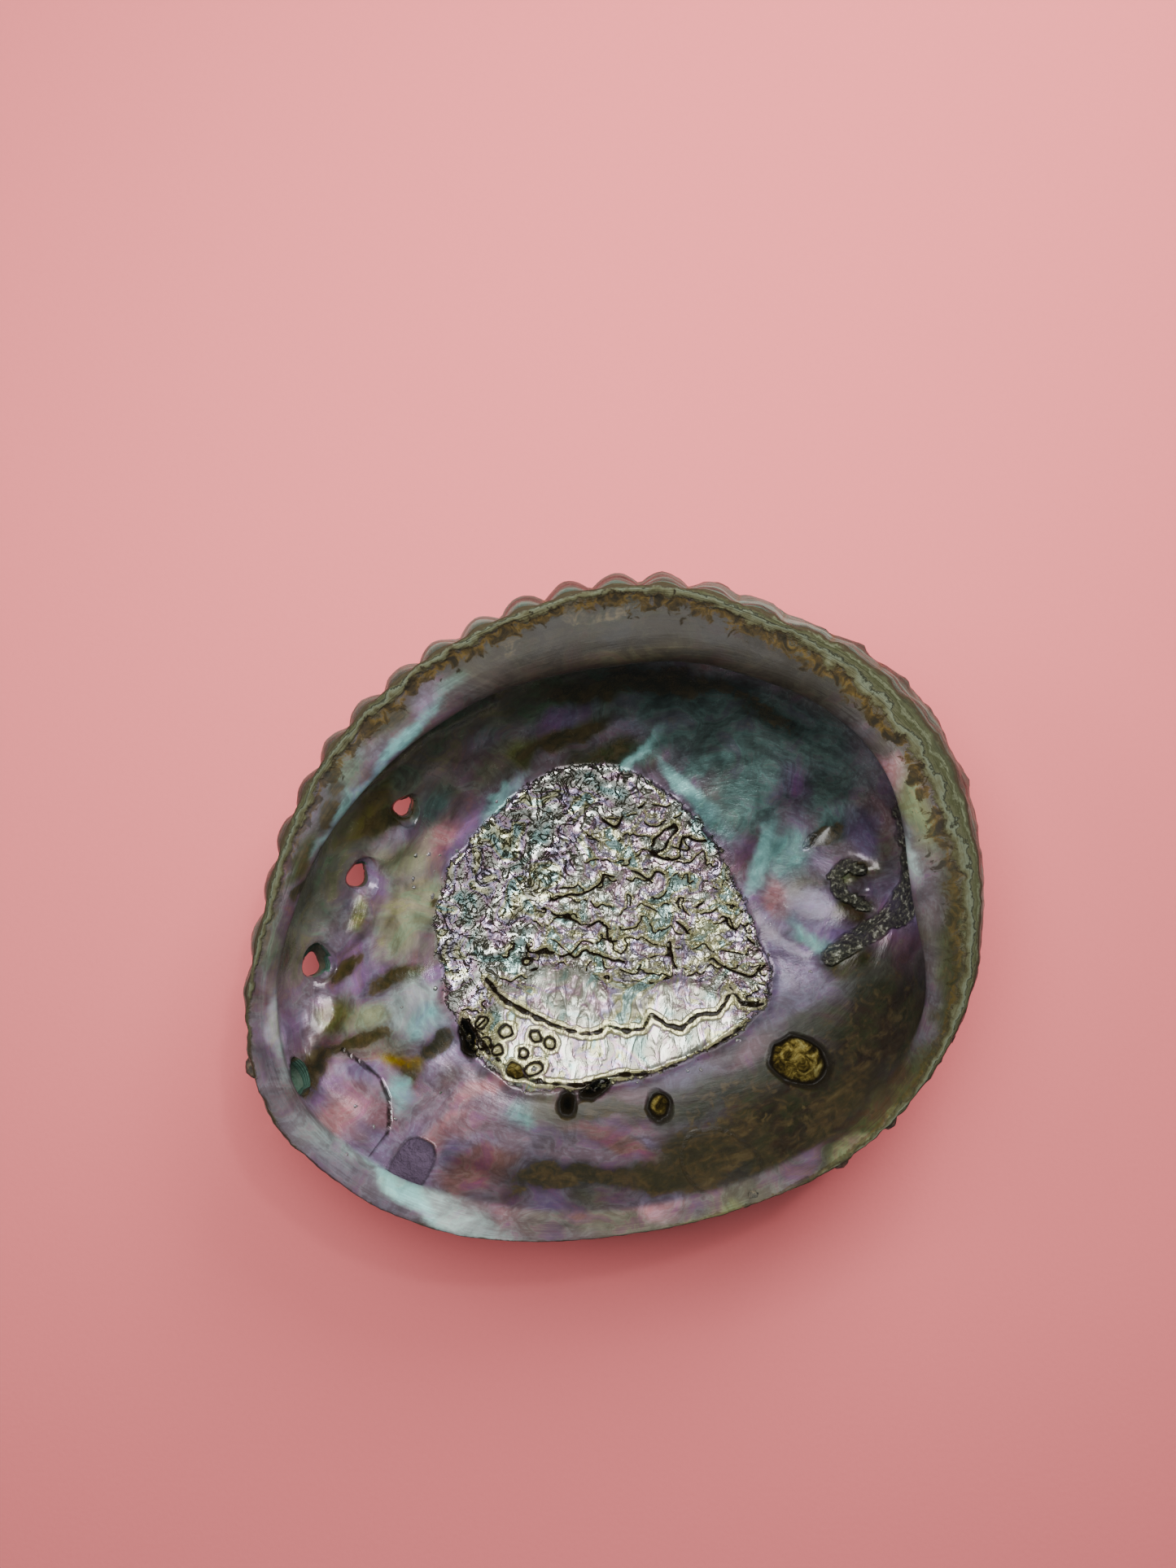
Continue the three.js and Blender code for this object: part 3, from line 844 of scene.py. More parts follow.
def growth_tree(materials):
    """Corrugations and growth ridges on the outside, and flaked plates on the muscle's scar."""
    sizes = ("Fold Pitch", "Ridge Height", "Plate Step")
    tree = shape_tree("Shell growth", [(size, "NodeSocketFloat") for size in sizes])
    add = functools.partial(add_node, tree)
    given = tree.nodes.new("NodeGroupInput").outputs
    named = {
        name: add("GeometryNodeInputNamedAttribute", {"Name": name}, data_type="FLOAT")
        for name in ("azimuth", "fold", "outside", "flaky")
    }
    growth = add("GeometryNodeInputNamedAttribute", {"Name": "growth"}, data_type="FLOAT_VECTOR")
    place = add("GeometryNodeInputPosition")
    normal = add("GeometryNodeInputNormal")

    # rounded crests with sharp furrows between them, pushed along the radius
    turns = add("Math", {0: named["azimuth"], 1: given["Fold Pitch"]}, operation="DIVIDE")
    angle = add("Math", {0: turns, 1: math.pi}, operation="MULTIPLY")
    wave = add("Math", {0: angle}, operation="SINE")
    crest = add("Math", {0: wave}, operation="ABSOLUTE")
    level = add("Math", {0: crest, 1: FOLD_LEVEL}, operation="SUBTRACT")
    fold = add("Math", {0: level, 1: named["fold"]}, operation="MULTIPLY")
    flat = add("VectorMath", {0: place, 1: (1, 1, 0)}, operation="MULTIPLY")
    radius = add("VectorMath", {0: flat}, operation="NORMALIZE")
    out = add("VectorMath", {0: radius, "Scale": fold}, operation="SCALE")

    # growth ridges beside the margin, rugged along their length
    ridges = add("TexNoise", {"Vector": growth, "Scale": 1.0, "Detail": 4.0, "Roughness": 0.6})
    centred = add("Math", {0: ridges, 1: 0.5}, operation="SUBTRACT")
    sized = add("Math", {0: centred, 1: given["Ridge Height"]}, operation="MULTIPLY")
    ridge = add("Math", {0: sized, 1: named["outside"]}, operation="MULTIPLY")
    lift = add("VectorMath", {0: normal, "Scale": ridge}, operation="SCALE")

    # plates, each falling to the crack where the next one begins
    height, _ = flaked_plates(tree, place)
    stepped = add("Math", {0: height, 1: given["Plate Step"]}, operation="MULTIPLY")
    plate = add("Math", {0: stepped, 1: named["flaky"]}, operation="MULTIPLY")
    upward = add("CombineXYZ", {"Z": plate})

    first = add("VectorMath", {0: out, 1: lift}, operation="ADD")
    total = add("VectorMath", {0: first, 1: upward}, operation="ADD")
    mesh = add("GeometryNodeSetPosition", {"Geometry": given["Geometry"], "Offset": total})
    solid = add("GeometryNodeRealizeInstances", {0: mesh})
    zone = add("GeometryNodeInputNamedAttribute", {"Name": "zone"}, data_type="INT")
    for number, material in enumerate(materials):
        chosen = add("FunctionNodeCompare", {2: zone, 3: number}, data_type="INT", operation="EQUAL")
        solid = add("GeometryNodeSetMaterial", {"Geometry": solid, "Selection": chosen, "Material": material})
    add("NodeGroupOutput", {0: solid})
    return tree


def scatter_tree(name, material):
    """One small lump set on every point, turned to the surface and sized by the point."""
    tree = shape_tree(name, (("Lump Detail", "NodeSocketInt"), ("Flatness", "NodeSocketFloat")))
    add = functools.partial(add_node, tree)
    given = tree.nodes.new("NodeGroupInput").outputs
    normal = add("GeometryNodeInputNamedAttribute", {"Name": "upright"}, data_type="FLOAT_VECTOR")
    size = add("GeometryNodeInputNamedAttribute", {"Name": "size"}, data_type="FLOAT")
    lump = add("GeometryNodeMeshIcoSphere", {"Radius": 1.0, "Subdivisions": given["Lump Detail"]})
    squash = add("CombineXYZ", {"X": 1.0, "Y": 1.0, "Z": given["Flatness"]})
    flat = add("GeometryNodeTransform", {"Geometry": lump, "Scale": squash})
    points = add("GeometryNodeMeshToPoints", {"Mesh": given["Geometry"]})
    turn = add("FunctionNodeAlignRotationToVector", {"Vector": normal}, axis="Z")
    scale = add("CombineXYZ", {"X": size, "Y": size, "Z": size})
    set_down = add(
        "GeometryNodeInstanceOnPoints",
        {"Points": points, "Instance": flat, "Rotation": turn, "Scale": scale},
    )
    solid = add("GeometryNodeRealizeInstances", {0: set_down})
    place = add("GeometryNodeInputPosition")
    uneven = add("TexNoise", {"Vector": place, "Scale": 900.0, "Detail": 2.0}, "Color")
    centred = add("VectorMath", {0: uneven, 1: (0.5, 0.5, 0.5)}, operation="SUBTRACT")
    pushed = add("VectorMath", {0: centred, "Scale": 0.0016}, operation="SCALE")
    knobbly = add("GeometryNodeSetPosition", {"Geometry": solid, "Offset": pushed})
    finished = add("GeometryNodeSetMaterial", {"Geometry": knobbly, "Material": material})
    add("NodeGroupOutput", {0: finished})
    return tree


# ---- Materials -------------------------------------------------------------------------------


def new_material(name, **constants):
    """A material with one Principled surface, whose unchanging values are set on its sockets.

    Returns the material, its tree, its adder of nodes, and a point's place in millimetres.
    """
    material = bpy.data.materials.new(name)
    material.use_nodes = True
    tree = material.node_tree
    for socket, value in constants.items():
        tree.nodes["Principled BSDF"].inputs[socket.replace("_", " ")].default_value = value
    add = functools.partial(add_node, tree)
    metres = add("TexCoord", output="Object")
    place = add("VectorMath", {0: metres, "Scale": 1000}, operation="SCALE")
    return material, tree, add, place


def wire(tree, outputs):
    """Links what the nodes give to the surface's sockets of those names."""
    surface = tree.nodes["Principled BSDF"]
    for socket, output in outputs.items():
        tree.links.new(output, surface.inputs[socket])


def nacre(pearl):
    """Nacre: flat lime crystals in layers thinner than light's wavelength, with dark horny layers.

    To the eye that is silver cloth dyed teal, rose and violet in drifting clouds, which turn brown
    and black where horny layers show through; the hue also turns with the surface's lean, a painted
    iridescence. Where the muscle held on, the surface is crumpled like foil and flakes in small plates
    with cracks between them; there the colour holds painted light: shade in the creases, near-white
    highlights between them, cream highlights on the plates' rims and painted shadow in the cracks.
    """
    material, tree, add, place = new_material("Nacre", Coat_Roughness=0.06, Coat_IOR=1.5)
    facing = add("NewGeometry", output="Normal")
    kept = {
        name: add("Attribute", output="Fac", attribute_name=name)
        for name in (
            "horn", "scar", "flaky", "outline", "tone", "crack", "ledge", "section", "stained",
            "stain_line", "gritty", "broad_plates", "polish",
        )
    }
    tint = add("Attribute", output="Color", attribute_name="tint")
    grain = add("Attribute", output="Vector", attribute_name="growth")

    # the films' thickness drifts in clouds and along the growing edge; the hue also turns with the
    # surface's lean, a painted iridescence that stands in for the angle the light meets it at
    clouds = add("TexNoise", {
        "Vector": place, "Scale": 0.1, "Detail": 7.0, "Roughness": 0.62, "Distortion": 1.2,
    })
    silk = add("TexNoise", {"Vector": grain, "Scale": 1.6, "Detail": 4.0, "Roughness": 0.62})
    lean = add("VectorMath", {0: facing, 1: (0.5, -0.4, 0.0)}, "Value", operation="DOT_PRODUCT")
    clouds_and_painted_iridescence = add("Math", {0: clouds, 1: 3.4, 2: lean}, operation="MULTIPLY_ADD")
    film = add("Math", {0: silk, 1: 0.8, 2: clouds_and_painted_iridescence}, operation="MULTIPLY_ADD")
    turn = add("Math", {0: film, 1: 1.0}, operation="PINGPONG")
    places = (0, 0.13, 0.26, 0.38, 0.5, 0.62, 0.74, 0.87, 1)
    play = add("ValToRGB", {0: turn}, stops=list(zip(places, FILM_COLOURS)))
    playful = add("Mix", {0: pearl.play, 6: tint, 7: play}, 2, data_type="RGBA", blend_type="SOFT_LIGHT")
    hue = add("MapRange", {0: film, 1: 1.0, 2: 2.0, 3: 0.5 - pearl.drift, 4: 0.5 + pearl.drift})
    glow = add("TexNoise", {
        "Vector": place, "Scale": 0.12, "Detail": 9.0, "Roughness": 0.66, "Distortion": 0.6,
    })
    bright = add("MapRange", {0: glow, 1: 0.3, 2: 0.7, 3: 0.55, 4: 1.45})

    # silky streaks along the growing edge: fainter on the shelf, and none round the spire
    on_shelf = add("MapRange", {0: kept["section"], 1: 6.8, 2: 8.4})
    flat = add("VectorMath", {0: place, 1: (1, 1, 0)}, operation="MULTIPLY")
    from_spire = add("VectorMath", {0: flat, 1: (*SPIRE, 0)}, "Value", operation="DISTANCE")
    spreading = add("MapRange", {0: from_spire, 1: 7.0, 2: 22.0})
    streaks = add("MapRange", {0: on_shelf, 3: 1.9, 4: 0.7})
    streaky = add("Math", {0: streaks, 1: spreading}, operation="MULTIPLY")
    centred_silk = add("Math", {0: silk, 1: 0.5}, operation="SUBTRACT")
    streak = add("Math", {0: centred_silk, 1: streaky, 2: 1.0}, operation="MULTIPLY_ADD")
    value = add("Math", {0: bright, 1: streak}, operation="MULTIPLY")
    dyed = add("HueSaturation", {
        "Hue": hue, "Saturation": pearl.saturation, "Value": value, "Color": playful,
    })

    # horny layers with ragged edges, black to honey brown
    blots = add("TexNoise", {
        "Vector": place, "Scale": 0.35, "Detail": 7.0, "Roughness": 0.6, "Distortion": 0.8,
    })
    depth = add("Math", {0: blots, 1: 1.3, 2: kept["horn"]}, operation="MULTIPLY_ADD")
    horned = add("MapRange", {0: depth, 1: 1.12, 2: 1.38, 4: 0.8}, interpolation_type="SMOOTHSTEP")
    flow = add("TexNoise", {
        "Vector": grain, "Scale": 1.5, "Detail": 5.0, "Roughness": 0.6, "Distortion": 1.4,
    })
    layers = add("TexNoise", {"Vector": place, "Scale": 0.9, "Detail": 5.0, "Roughness": 0.6})
    blotted = add("Mix", {0: 0.5, 2: flow, 3: blots}, 0)
    horn = add("ValToRGB", {0: blotted}, stops=[
        (0.32, "#12120C"), (0.46, "#231F10"), (0.55, "#382C16"), (0.63, "#463B21"), (0.72, "#50462C"),
    ])
    horny = add("Mix", {0: horned, 6: dyed, 7: horn}, 2, data_type="RGBA")

    # healed outlines and what they hold, and the healed crack
    side = add("Math", {0: kept["outline"]}, operation="ABSOLUTE")
    strong = add("MapRange", {0: kept["tone"], 1: 0.4, 2: 0.6, 3: 1.0, 4: 0.45})
    broken = add("MapRange", {0: blots, 1: 0.4, 2: 0.55, 3: 0.25, 4: 1.0})
    thinly = add("Math", {0: strong, 1: broken}, operation="MULTIPLY")
    fully = add("Math", {0: strong, 1: 1.82, 2: -0.82}, operation="MULTIPLY_ADD")
    inked = add("Math", {0: thinly, 1: fully}, operation="MAXIMUM")
    broad = add("MapRange", {0: kept["tone"], 1: 0.36, 2: 0.5, 3: 0.55, 4: 1.0})
    thick = add("Math", {0: side, 1: broad}, operation="MULTIPLY")
    rim = add("MapRange", {0: thick, 1: 0.15, 2: 0.7, 3: inked, 4: 0.0}, interpolation_type="SMOOTHSTEP")
    inside = add("MapRange", {0: kept["outline"], 1: -0.2, 2: 0.2, 3: 1.0, 4: 0.0})
    held = add("ValToRGB", {0: kept["tone"]}, stops=[
        (0, "#060604"), (0.3, "#2E260E"), (0.4, "#3E3414"), (0.65, "#56485A"),
    ])
    plain = add("MapRange", {0: kept["tone"], 1: 0.7, 2: 0.95, 3: 1.0, 4: 0.0})
    filling = add("Math", {0: inside, 1: plain}, operation="MULTIPLY")
    resin = add("ValToRGB", {0: blots}, stops=[
        (0.38, "#1A1408"), (0.48, "#4A3E18"), (0.58, "#84743A"), (0.68, "#A89E60"),
    ])
    past_amber = add("Math", {0: kept["tone"], 1: 0.35}, operation="SUBTRACT")
    from_amber = add("Math", {0: past_amber}, operation="ABSOLUTE")
    amberish = add("MapRange", {0: from_amber, 1: 0.1, 2: 0.25, 3: 0.85, 4: 0.0})
    resinous = add("Mix", {0: amberish, 6: held, 7: resin}, 2, data_type="RGBA")
    mottled = add("VectorMath", {0: resinous, "Scale": value}, operation="SCALE")
    filled = add("Mix", {0: filling, 6: horny, 7: mottled}, 2, data_type="RGBA")
    crack = add("MapRange", {
        0: kept["crack"], 1: 0.15, 2: 0.7, 3: 0.9, 4: 0.0,
    }, interpolation_type="SMOOTHSTEP")
    marks = add("Math", {0: rim, 1: crack}, operation="MAXIMUM")
    marked = add("Mix", {0: marks, 6: filled, 7: linear("#17120A")}, 2, data_type="RGBA")

    # the brown line where the living animal's skin was fastened, and the young lime outside it
    waver = add("TexNoise", {"Vector": place, "Scale": 0.2, "Detail": 6.0, "Roughness": 0.65})
    line_at = add("Math", {0: waver, 1: 2.6, 2: kept["stain_line"]}, operation="MULTIPLY_ADD")
    past = add("Math", {0: kept["section"], 1: line_at}, operation="SUBTRACT")
    off = add("Math", {0: past, 1: 1.3}, operation="ADD")
    young = add("MapRange", {0: off, 1: 0.1, 2: 0.6}, interpolation_type="SMOOTHSTEP")
    edge_lines = add("TexNoise", {"Vector": grain, "Scale": 1.6, "Detail": 4.0, "Roughness": 0.55})
    outward = add("MapRange", {0: off, 1: 0.1, 2: 3.0, 3: -0.08, 4: 0.92}, clamp=False)
    layer = add("Math", {0: edge_lines, 1: 0.16, 2: outward}, operation="MULTIPLY_ADD")
    lime = add("ValToRGB", {0: layer}, stops=[
        (0.0, "#5E564E"), (0.12, "#3E3A20"), (0.24, "#57573F"), (0.34, "#646A56"), (0.385, "#1E1E14"),
        (0.42, "#50513A"), (0.55, "#3E4026"), (0.62, "#646850"), (0.66, "#484A32"), (0.84, "#383A28"),
        (1.0, "#56563E"),
    ])
    limed = add("Mix", {0: young, 6: marked, 7: lime}, 2, data_type="RGBA")
    thinned = add("MapRange", {0: blots, 1: 0.4, 2: 0.6, 3: -0.35, 4: 0.35}, clamp=False)
    aside = add("Math", {0: off}, operation="ABSOLUTE")
    away = add("Math", {0: aside, 1: thinned}, operation="ADD")
    line = add("MapRange", {0: away, 1: 0.2, 2: 0.55, 3: 0.95, 4: 0.0}, interpolation_type="SMOOTHSTEP")
    stain = add("Math", {0: line, 1: kept["stained"]}, operation="MULTIPLY")
    stain_colour = add("ValToRGB", {0: blots}, stops=[(0.38, "#1E180A"), (0.5, "#3E3012"), (0.62, "#66501E")])
    stained = add("Mix", {0: stain, 6: limed, 7: stain_colour}, 2, data_type="RGBA")

    # grit on the ridges
    grit = add("ValToRGB", {0: layers}, stops=[
        (0.38, "#14140F"), (0.5, "#34342A"), (0.58, "#5E5E4C"), (0.66, "#B0B0A0"),
    ])
    gritted = add("MapRange", {0: kept["gritty"], 1: 0.2, 2: 0.7, 4: 0.9}, interpolation_type="SMOOTHSTEP")
    edged = add("Mix", {0: gritted, 6: stained, 7: grit}, 2, data_type="RGBA")

    # the muscle's scar: crumpled foil, smooth and rippled on the lowest plates; its colour paints
    # shade dark into the creases and near-white highlights onto the faces between them
    wrinkles = []
    for scale, share in ((0.24, 1.0), (0.6, 1.3)):
        swell = add("TexNoise", {"Vector": place, "Scale": scale, "Detail": 2.0, "Distortion": 1.3})
        centred = add("Math", {0: swell, 1: 0.5}, operation="SUBTRACT")
        crease = add("Math", {0: centred}, operation="ABSOLUTE")
        wrinkles.append(add("Math", {0: crease, 1: share}, operation="MULTIPLY"))
    wrinkle = add("Math", {0: wrinkles[0], 1: wrinkles[1]}, operation="MINIMUM")
    crumpled = add("MapRange", {0: wrinkle, 1: 0.0, 2: 0.045})
    rippled_place = add("VectorMath", {0: place, 1: (0.5, 0.18, 0.2)}, operation="MULTIPLY")
    ripple = add("TexNoise", {"Vector": rippled_place, "Scale": 0.8, "Detail": 3.0, "Distortion": 0.8})
    rippled = add("MapRange", {0: ripple, 1: 0.4, 2: 0.6, 3: 0.36, 4: 0.74})
    flat_faces = add("Math", {0: kept["flaky"], 1: 0.65}, operation="MULTIPLY")
    soft = add("Math", {0: kept["broad_plates"], 1: flat_faces}, operation="MAXIMUM")
    foil_relief_and_painted_light = add("Mix", {0: soft, 2: crumpled, 3: rippled}, 0)
    foil = add("ValToRGB", {0: foil_relief_and_painted_light}, stops=[
        (0.0, "#302E24"), (0.3, "#868378"), (0.6, "#D2D0C8"), (0.9, "#FFFFFF"),
    ])
    pastel = add("TexNoise", {"Vector": place, "Scale": 0.11, "Detail": 3.0, "Distortion": 0.8})
    dyes = add("ValToRGB", {0: pastel}, stops=[
        (0.34, "#BEE6E2"), (0.41, "#E4EAE0"), (0.47, "#EAE8DC"), (0.51, "#F0C8E0"), (0.54, "#D2C6F2"),
        (0.57, "#EAE8DC"), (0.61, "#F0ECB4"), (0.66, "#C2E8E6"),
    ])
    silvery = add("Mix", {0: 1.0, 6: foil, 7: dyes}, 2, data_type="RGBA", blend_type="MULTIPLY")

    # the plates' rims: a cream painted highlight on each, and a dark painted shadow in the crack under
    # each lower edge
    _, edges = flaked_plates(tree, add("TexCoord", output="Object"))
    outlined = add("Math", {0: side, 1: 0.15}, operation="ADD")
    gap = add("Math", {0: kept["ledge"], 1: outlined}, operation="MINIMUM")
    past_gap = add("Math", {0: gap, 1: 0.95}, operation="SUBTRACT")
    lip = add("Math", {0: past_gap}, operation="ABSOLUTE")
    shut = add("MapRange", {0: kept["flaky"], 1: 0.15, 2: 0.7, 3: 3.0, 4: 0.0})
    for (above, below), spot, thin in zip(edges, (0.12, 0.3), (-0.25, 0.0)):
        patch = add("TexNoise", {"Vector": place, "Scale": spot, "Detail": 2.0})
        healed = add("MapRange", {0: patch, 1: 0.52, 2: 0.62, 3: thin, 4: 1.2})
        closed = add("Math", {0: shut, 1: healed}, operation="ADD")
        open_below = add("Math", {0: below, 1: closed}, operation="ADD")
        open_above = add("Math", {0: above, 1: closed}, operation="ADD")
        gap = add("Math", {0: open_below, 1: gap}, operation="MINIMUM")
        lip = add("Math", {0: open_above, 1: lip}, operation="MINIMUM")
    crack_shadow = add("MapRange", {0: gap, 1: 0.3, 2: 0.6, 3: 1.0, 4: 0.0}, interpolation_type="SMOOTHSTEP")
    rim_highlight = add("MapRange", {0: lip, 1: 0.25, 2: 0.9, 3: 0.8, 4: 0.0}, interpolation_type="SMOOTHSTEP")
    yellow = add("Mix", {0: rim_highlight, 6: silvery, 7: linear("#D2CC92")}, 2, data_type="RGBA")
    flaked = add("Mix", {0: crack_shadow, 6: yellow, 7: linear("#1C140A")}, 2, data_type="RGBA")

    # all of it together, with the scar's frayed edge, a dark line of painted shade along the scar's
    # step, and the worn margin
    fringed = add("Math", {0: layers, 1: 3.0, 2: kept["scar"]}, operation="MULTIPLY_ADD")
    frayed = add("Math", {0: blots, 1: 5.0, 2: fringed}, operation="MULTIPLY_ADD")
    on_scar = add("MapRange", {0: frayed, 1: 3.7, 2: 4.5}, interpolation_type="SMOOTHSTEP")
    past_brink = add("Math", {0: frayed, 1: 4.0}, operation="SUBTRACT")
    from_brink = add("Math", {0: past_brink}, operation="ABSOLUTE")
    brink_dark = add("MapRange", {0: clouds, 1: 0.42, 2: 0.56, 3: 0.85, 4: 0.1})
    brink_shade = add("MapRange", {0: from_brink, 1: 0.1, 2: 0.6, 3: brink_dark, 4: 0.0})
    whole = add("Mix", {0: on_scar, 6: edged, 7: flaked}, 2, data_type="RGBA")
    sunk = add("Math", {0: filling, 1: on_scar}, operation="MULTIPLY")
    holed = add("Mix", {0: sunk, 6: whole, 7: mottled}, 2, data_type="RGBA")
    brinked = add("Mix", {0: brink_shade, 6: holed, 7: linear("#241E12")}, 2, data_type="RGBA")
    worn = add("Math", {0: layers, 1: 1.6, 2: kept["section"]}, operation="MULTIPLY_ADD")
    worn_edge = add("MapRange", {0: worn, 1: 13.1, 2: 13.5, 4: 0.85}, interpolation_type="SMOOTHSTEP")
    final = add("Mix", {0: worn_edge, 6: brinked, 7: linear("#3A3020")}, 2, data_type="RGBA")

    # the shine: silvery on the scar, duller on the shelf and wherever no nacre shows
    cracked_here = add("Math", {0: crack_shadow, 1: on_scar}, operation="MULTIPLY")
    rougher = add("Math", {0: young, 1: gritted}, operation="MAXIMUM")
    unlike_nacre = add("Math", {0: filling, 1: rougher}, operation="MAXIMUM")
    dull = add("Math", {0: unlike_nacre, 1: stain}, operation="MAXIMUM")
    matt = add("Math", {0: dull, 1: horned}, operation="MAXIMUM")
    dark = add("Math", {0: matt, 1: cracked_here}, operation="MAXIMUM")
    bowl_sheen = add("MapRange", {0: on_shelf, 3: pearl.sheen, 4: 0.1})
    polished = add("Math", {0: bowl_sheen, 1: kept["polish"]}, operation="MULTIPLY")
    metal = add("MapRange", {0: on_scar, 3: polished, 4: 0.65})
    metallic = add("Math", {0: dark, 1: -0.7, 2: metal}, operation="MULTIPLY_ADD", use_clamp=True)
    bowl_rough = add("MapRange", {0: on_shelf, 3: pearl.roughness, 4: 0.5})
    varied = add("Math", {0: glow, 1: 0.2, 2: bowl_rough}, operation="MULTIPLY_ADD")
    unpolished = add("MapRange", {0: kept["polish"], 3: 0.3, 4: 0.0})
    lazy = add("Math", {0: filling, 1: unpolished}, operation="MAXIMUM")
    on_bowl = add("MapRange", {0: on_scar, 3: 1.0, 4: 0.0})
    duller = add("Math", {0: lazy, 1: on_bowl, 2: varied}, operation="MULTIPLY_ADD")
    roughness = add("Math", {0: dull, 1: 0.35, 2: duller}, operation="MULTIPLY_ADD", use_clamp=True)
    bowl_coat = add("MapRange", {0: on_shelf, 3: 0.25, 4: 0.03})
    worn_coat = add("Math", {0: bowl_coat, 1: kept["polish"]}, operation="MULTIPLY")
    open_coat = add("MapRange", {0: on_scar, 3: worn_coat, 4: 0.1})
    bare = add("MapRange", {0: dull, 3: 1.0, 4: 0.0})
    coat = add("Math", {0: open_coat, 1: bare}, operation="MULTIPLY")
    unlit = add("Math", {0: filling, 1: cracked_here}, operation="MAXIMUM")
    lit = add("MapRange", {0: unlit, 3: 0.5, 4: 0.1})

    # relief: crumples and steps on the scar, silky lines and cracks elsewhere
    deep = add("MapRange", {0: kept["broad_plates"], 3: 1.5, 4: 0.8})
    lifted = add("Math", {0: rim_highlight, 1: 0.5}, operation="MULTIPLY")
    folded = add("Math", {0: foil_relief_and_painted_light, 1: deep, 2: lifted}, operation="MULTIPLY_ADD")
    opened = add("Math", {0: folded, 1: crack_shadow}, operation="SUBTRACT")
    scar_relief = add("Math", {0: opened, 1: on_scar}, operation="MULTIPLY")
    strands = add("MapRange", {0: on_shelf, 3: 0.45, 4: 0.12})
    fine = add("Math", {0: strands, 1: spreading}, operation="MULTIPLY")
    silky = add("MapRange", {0: on_scar, 3: fine, 4: 0.0})
    scored = add("Math", {0: marks, 1: -0.6}, operation="MULTIPLY")
    smooth_relief = add("Math", {0: silk, 1: silky, 2: scored}, operation="MULTIPLY_ADD")
    lumpy = add("Math", {0: gritted, 1: filling}, operation="MAXIMUM")
    rocks = add("Math", {0: lumpy, 1: 3.0}, operation="MULTIPLY")
    rocky = add("Math", {0: layers, 1: rocks, 2: smooth_relief}, operation="MULTIPLY_ADD")
    lined = add("Math", {0: edge_lines, 1: young, 2: rocky}, operation="MULTIPLY_ADD")
    relief = add("Math", {0: scar_relief, 1: lined}, operation="ADD")
    waved = add("Math", {0: glow, 1: 0.25, 2: relief}, operation="MULTIPLY_ADD")
    bump = add("Bump", {"Strength": 1.0, "Distance": 0.0006, "Height": waved}, "Normal")
    coat_bump = add("Bump", {"Strength": 0.5, "Distance": 0.0004, "Height": waved}, "Normal")
    wire(tree, {
        "Base Color": final, "Metallic": metallic, "Roughness": roughness, "Coat Weight": coat,
        "Specular IOR Level": lit, "Normal": bump, "Coat Normal": coat_bump,
    })
    return material


def crust(outside):
    """Prismatic lime and horny skin: the shell's outside, laid down in ridges at its growing edge.

    It is matt and chalky with worn brown, green and brick bands that follow the margin, and
    glassy grey-green in the youngest few millimetres beside the rim.
    """
    material, tree, add, place = new_material("Lime crust")
    growth = add("Attribute", output="Vector", attribute_name="growth")
    section = add("Attribute", output="Fac", attribute_name="section")
    crest = add("Attribute", output="Fac", attribute_name="crest")
    bands = add("TexNoise", {
        "Vector": growth, "Scale": 0.7, "Detail": 6.0, "Roughness": 0.65, "Distortion": 0.3,
    })
    banded = add("ValToRGB", {0: bands}, stops=[
        (0.28, "#1A1A14"), (0.4, "#2C271B"), (0.47, "#433828"), (0.52, "#524F3C"), (0.58, "#462C20"),
        (0.66, "#585B4A"), (0.76, "#7A7560"),
    ])
    chalk = add("TexNoise", {"Vector": place, "Scale": 0.35, "Detail": 7.0, "Roughness": 0.7})
    chalky = add("MapRange", {0: chalk, 1: 0.55, 2: 0.72, 4: 0.7}, interpolation_type="SMOOTHSTEP")
    weathered = add("Mix", {0: chalky, 6: banded, 7: linear("#6A6858")}, 2, data_type="RGBA")
    glassy = add("ValToRGB", {0: bands}, stops=[
        (0.3, "#121C16"), (0.45, "#2A4236"), (0.55, "#446658"), (0.66, "#6E8C7E"), (0.78, "#5A6648"),
    ])
    young = add("MapRange", {0: section, 1: 15.0, 2: 16.4, 3: 1.0, 4: 0.0}, interpolation_type="SMOOTHSTEP")
    coloured = add("Mix", {0: young, 6: weathered, 7: glassy}, 2, data_type="RGBA")
    furrow = add("MapRange", {0: crest, 1: 0.0, 2: 0.25, 3: 0.6, 4: 0.0}, interpolation_type="SMOOTHSTEP")
    furrowed = add("Mix", {0: furrow, 6: coloured, 7: linear(outside.furrow_hex)}, 2, data_type="RGBA")
    rougher = add("MapRange", {0: young, 3: 0.72, 4: 0.34})
    grit = add("TexNoise", {"Vector": place, "Scale": 0.9, "Detail": 8.0, "Roughness": 0.7})
    relief = add("Math", {0: bands, 1: 1.2, 2: grit}, operation="MULTIPLY_ADD")
    bump = add("Bump", {"Strength": 0.9, "Distance": 0.0008, "Height": relief}, "Normal")
    wire(tree, {"Base Color": furrowed, "Roughness": rougher, "Normal": bump})
    return material


def blister_pearl():
    """Small pearls grown over grit on the nacre: glossy beads, grey-green with a rosy side."""
    material, tree, add, place = new_material("Blister pearl", Metallic=0.4, Roughness=0.2, Coat_Weight=0.6)
    tint = add("TexNoise", {"Vector": place, "Scale": 0.9, "Detail": 2.0})
    colour = add("ValToRGB", {0: tint}, stops=[
        (0.35, "#4A5348"), (0.5, "#8C8C86"), (0.6, "#8E7C8C"), (0.7, "#6C8C84"),
    ])
    wire(tree, {"Base Color": colour})
    return material


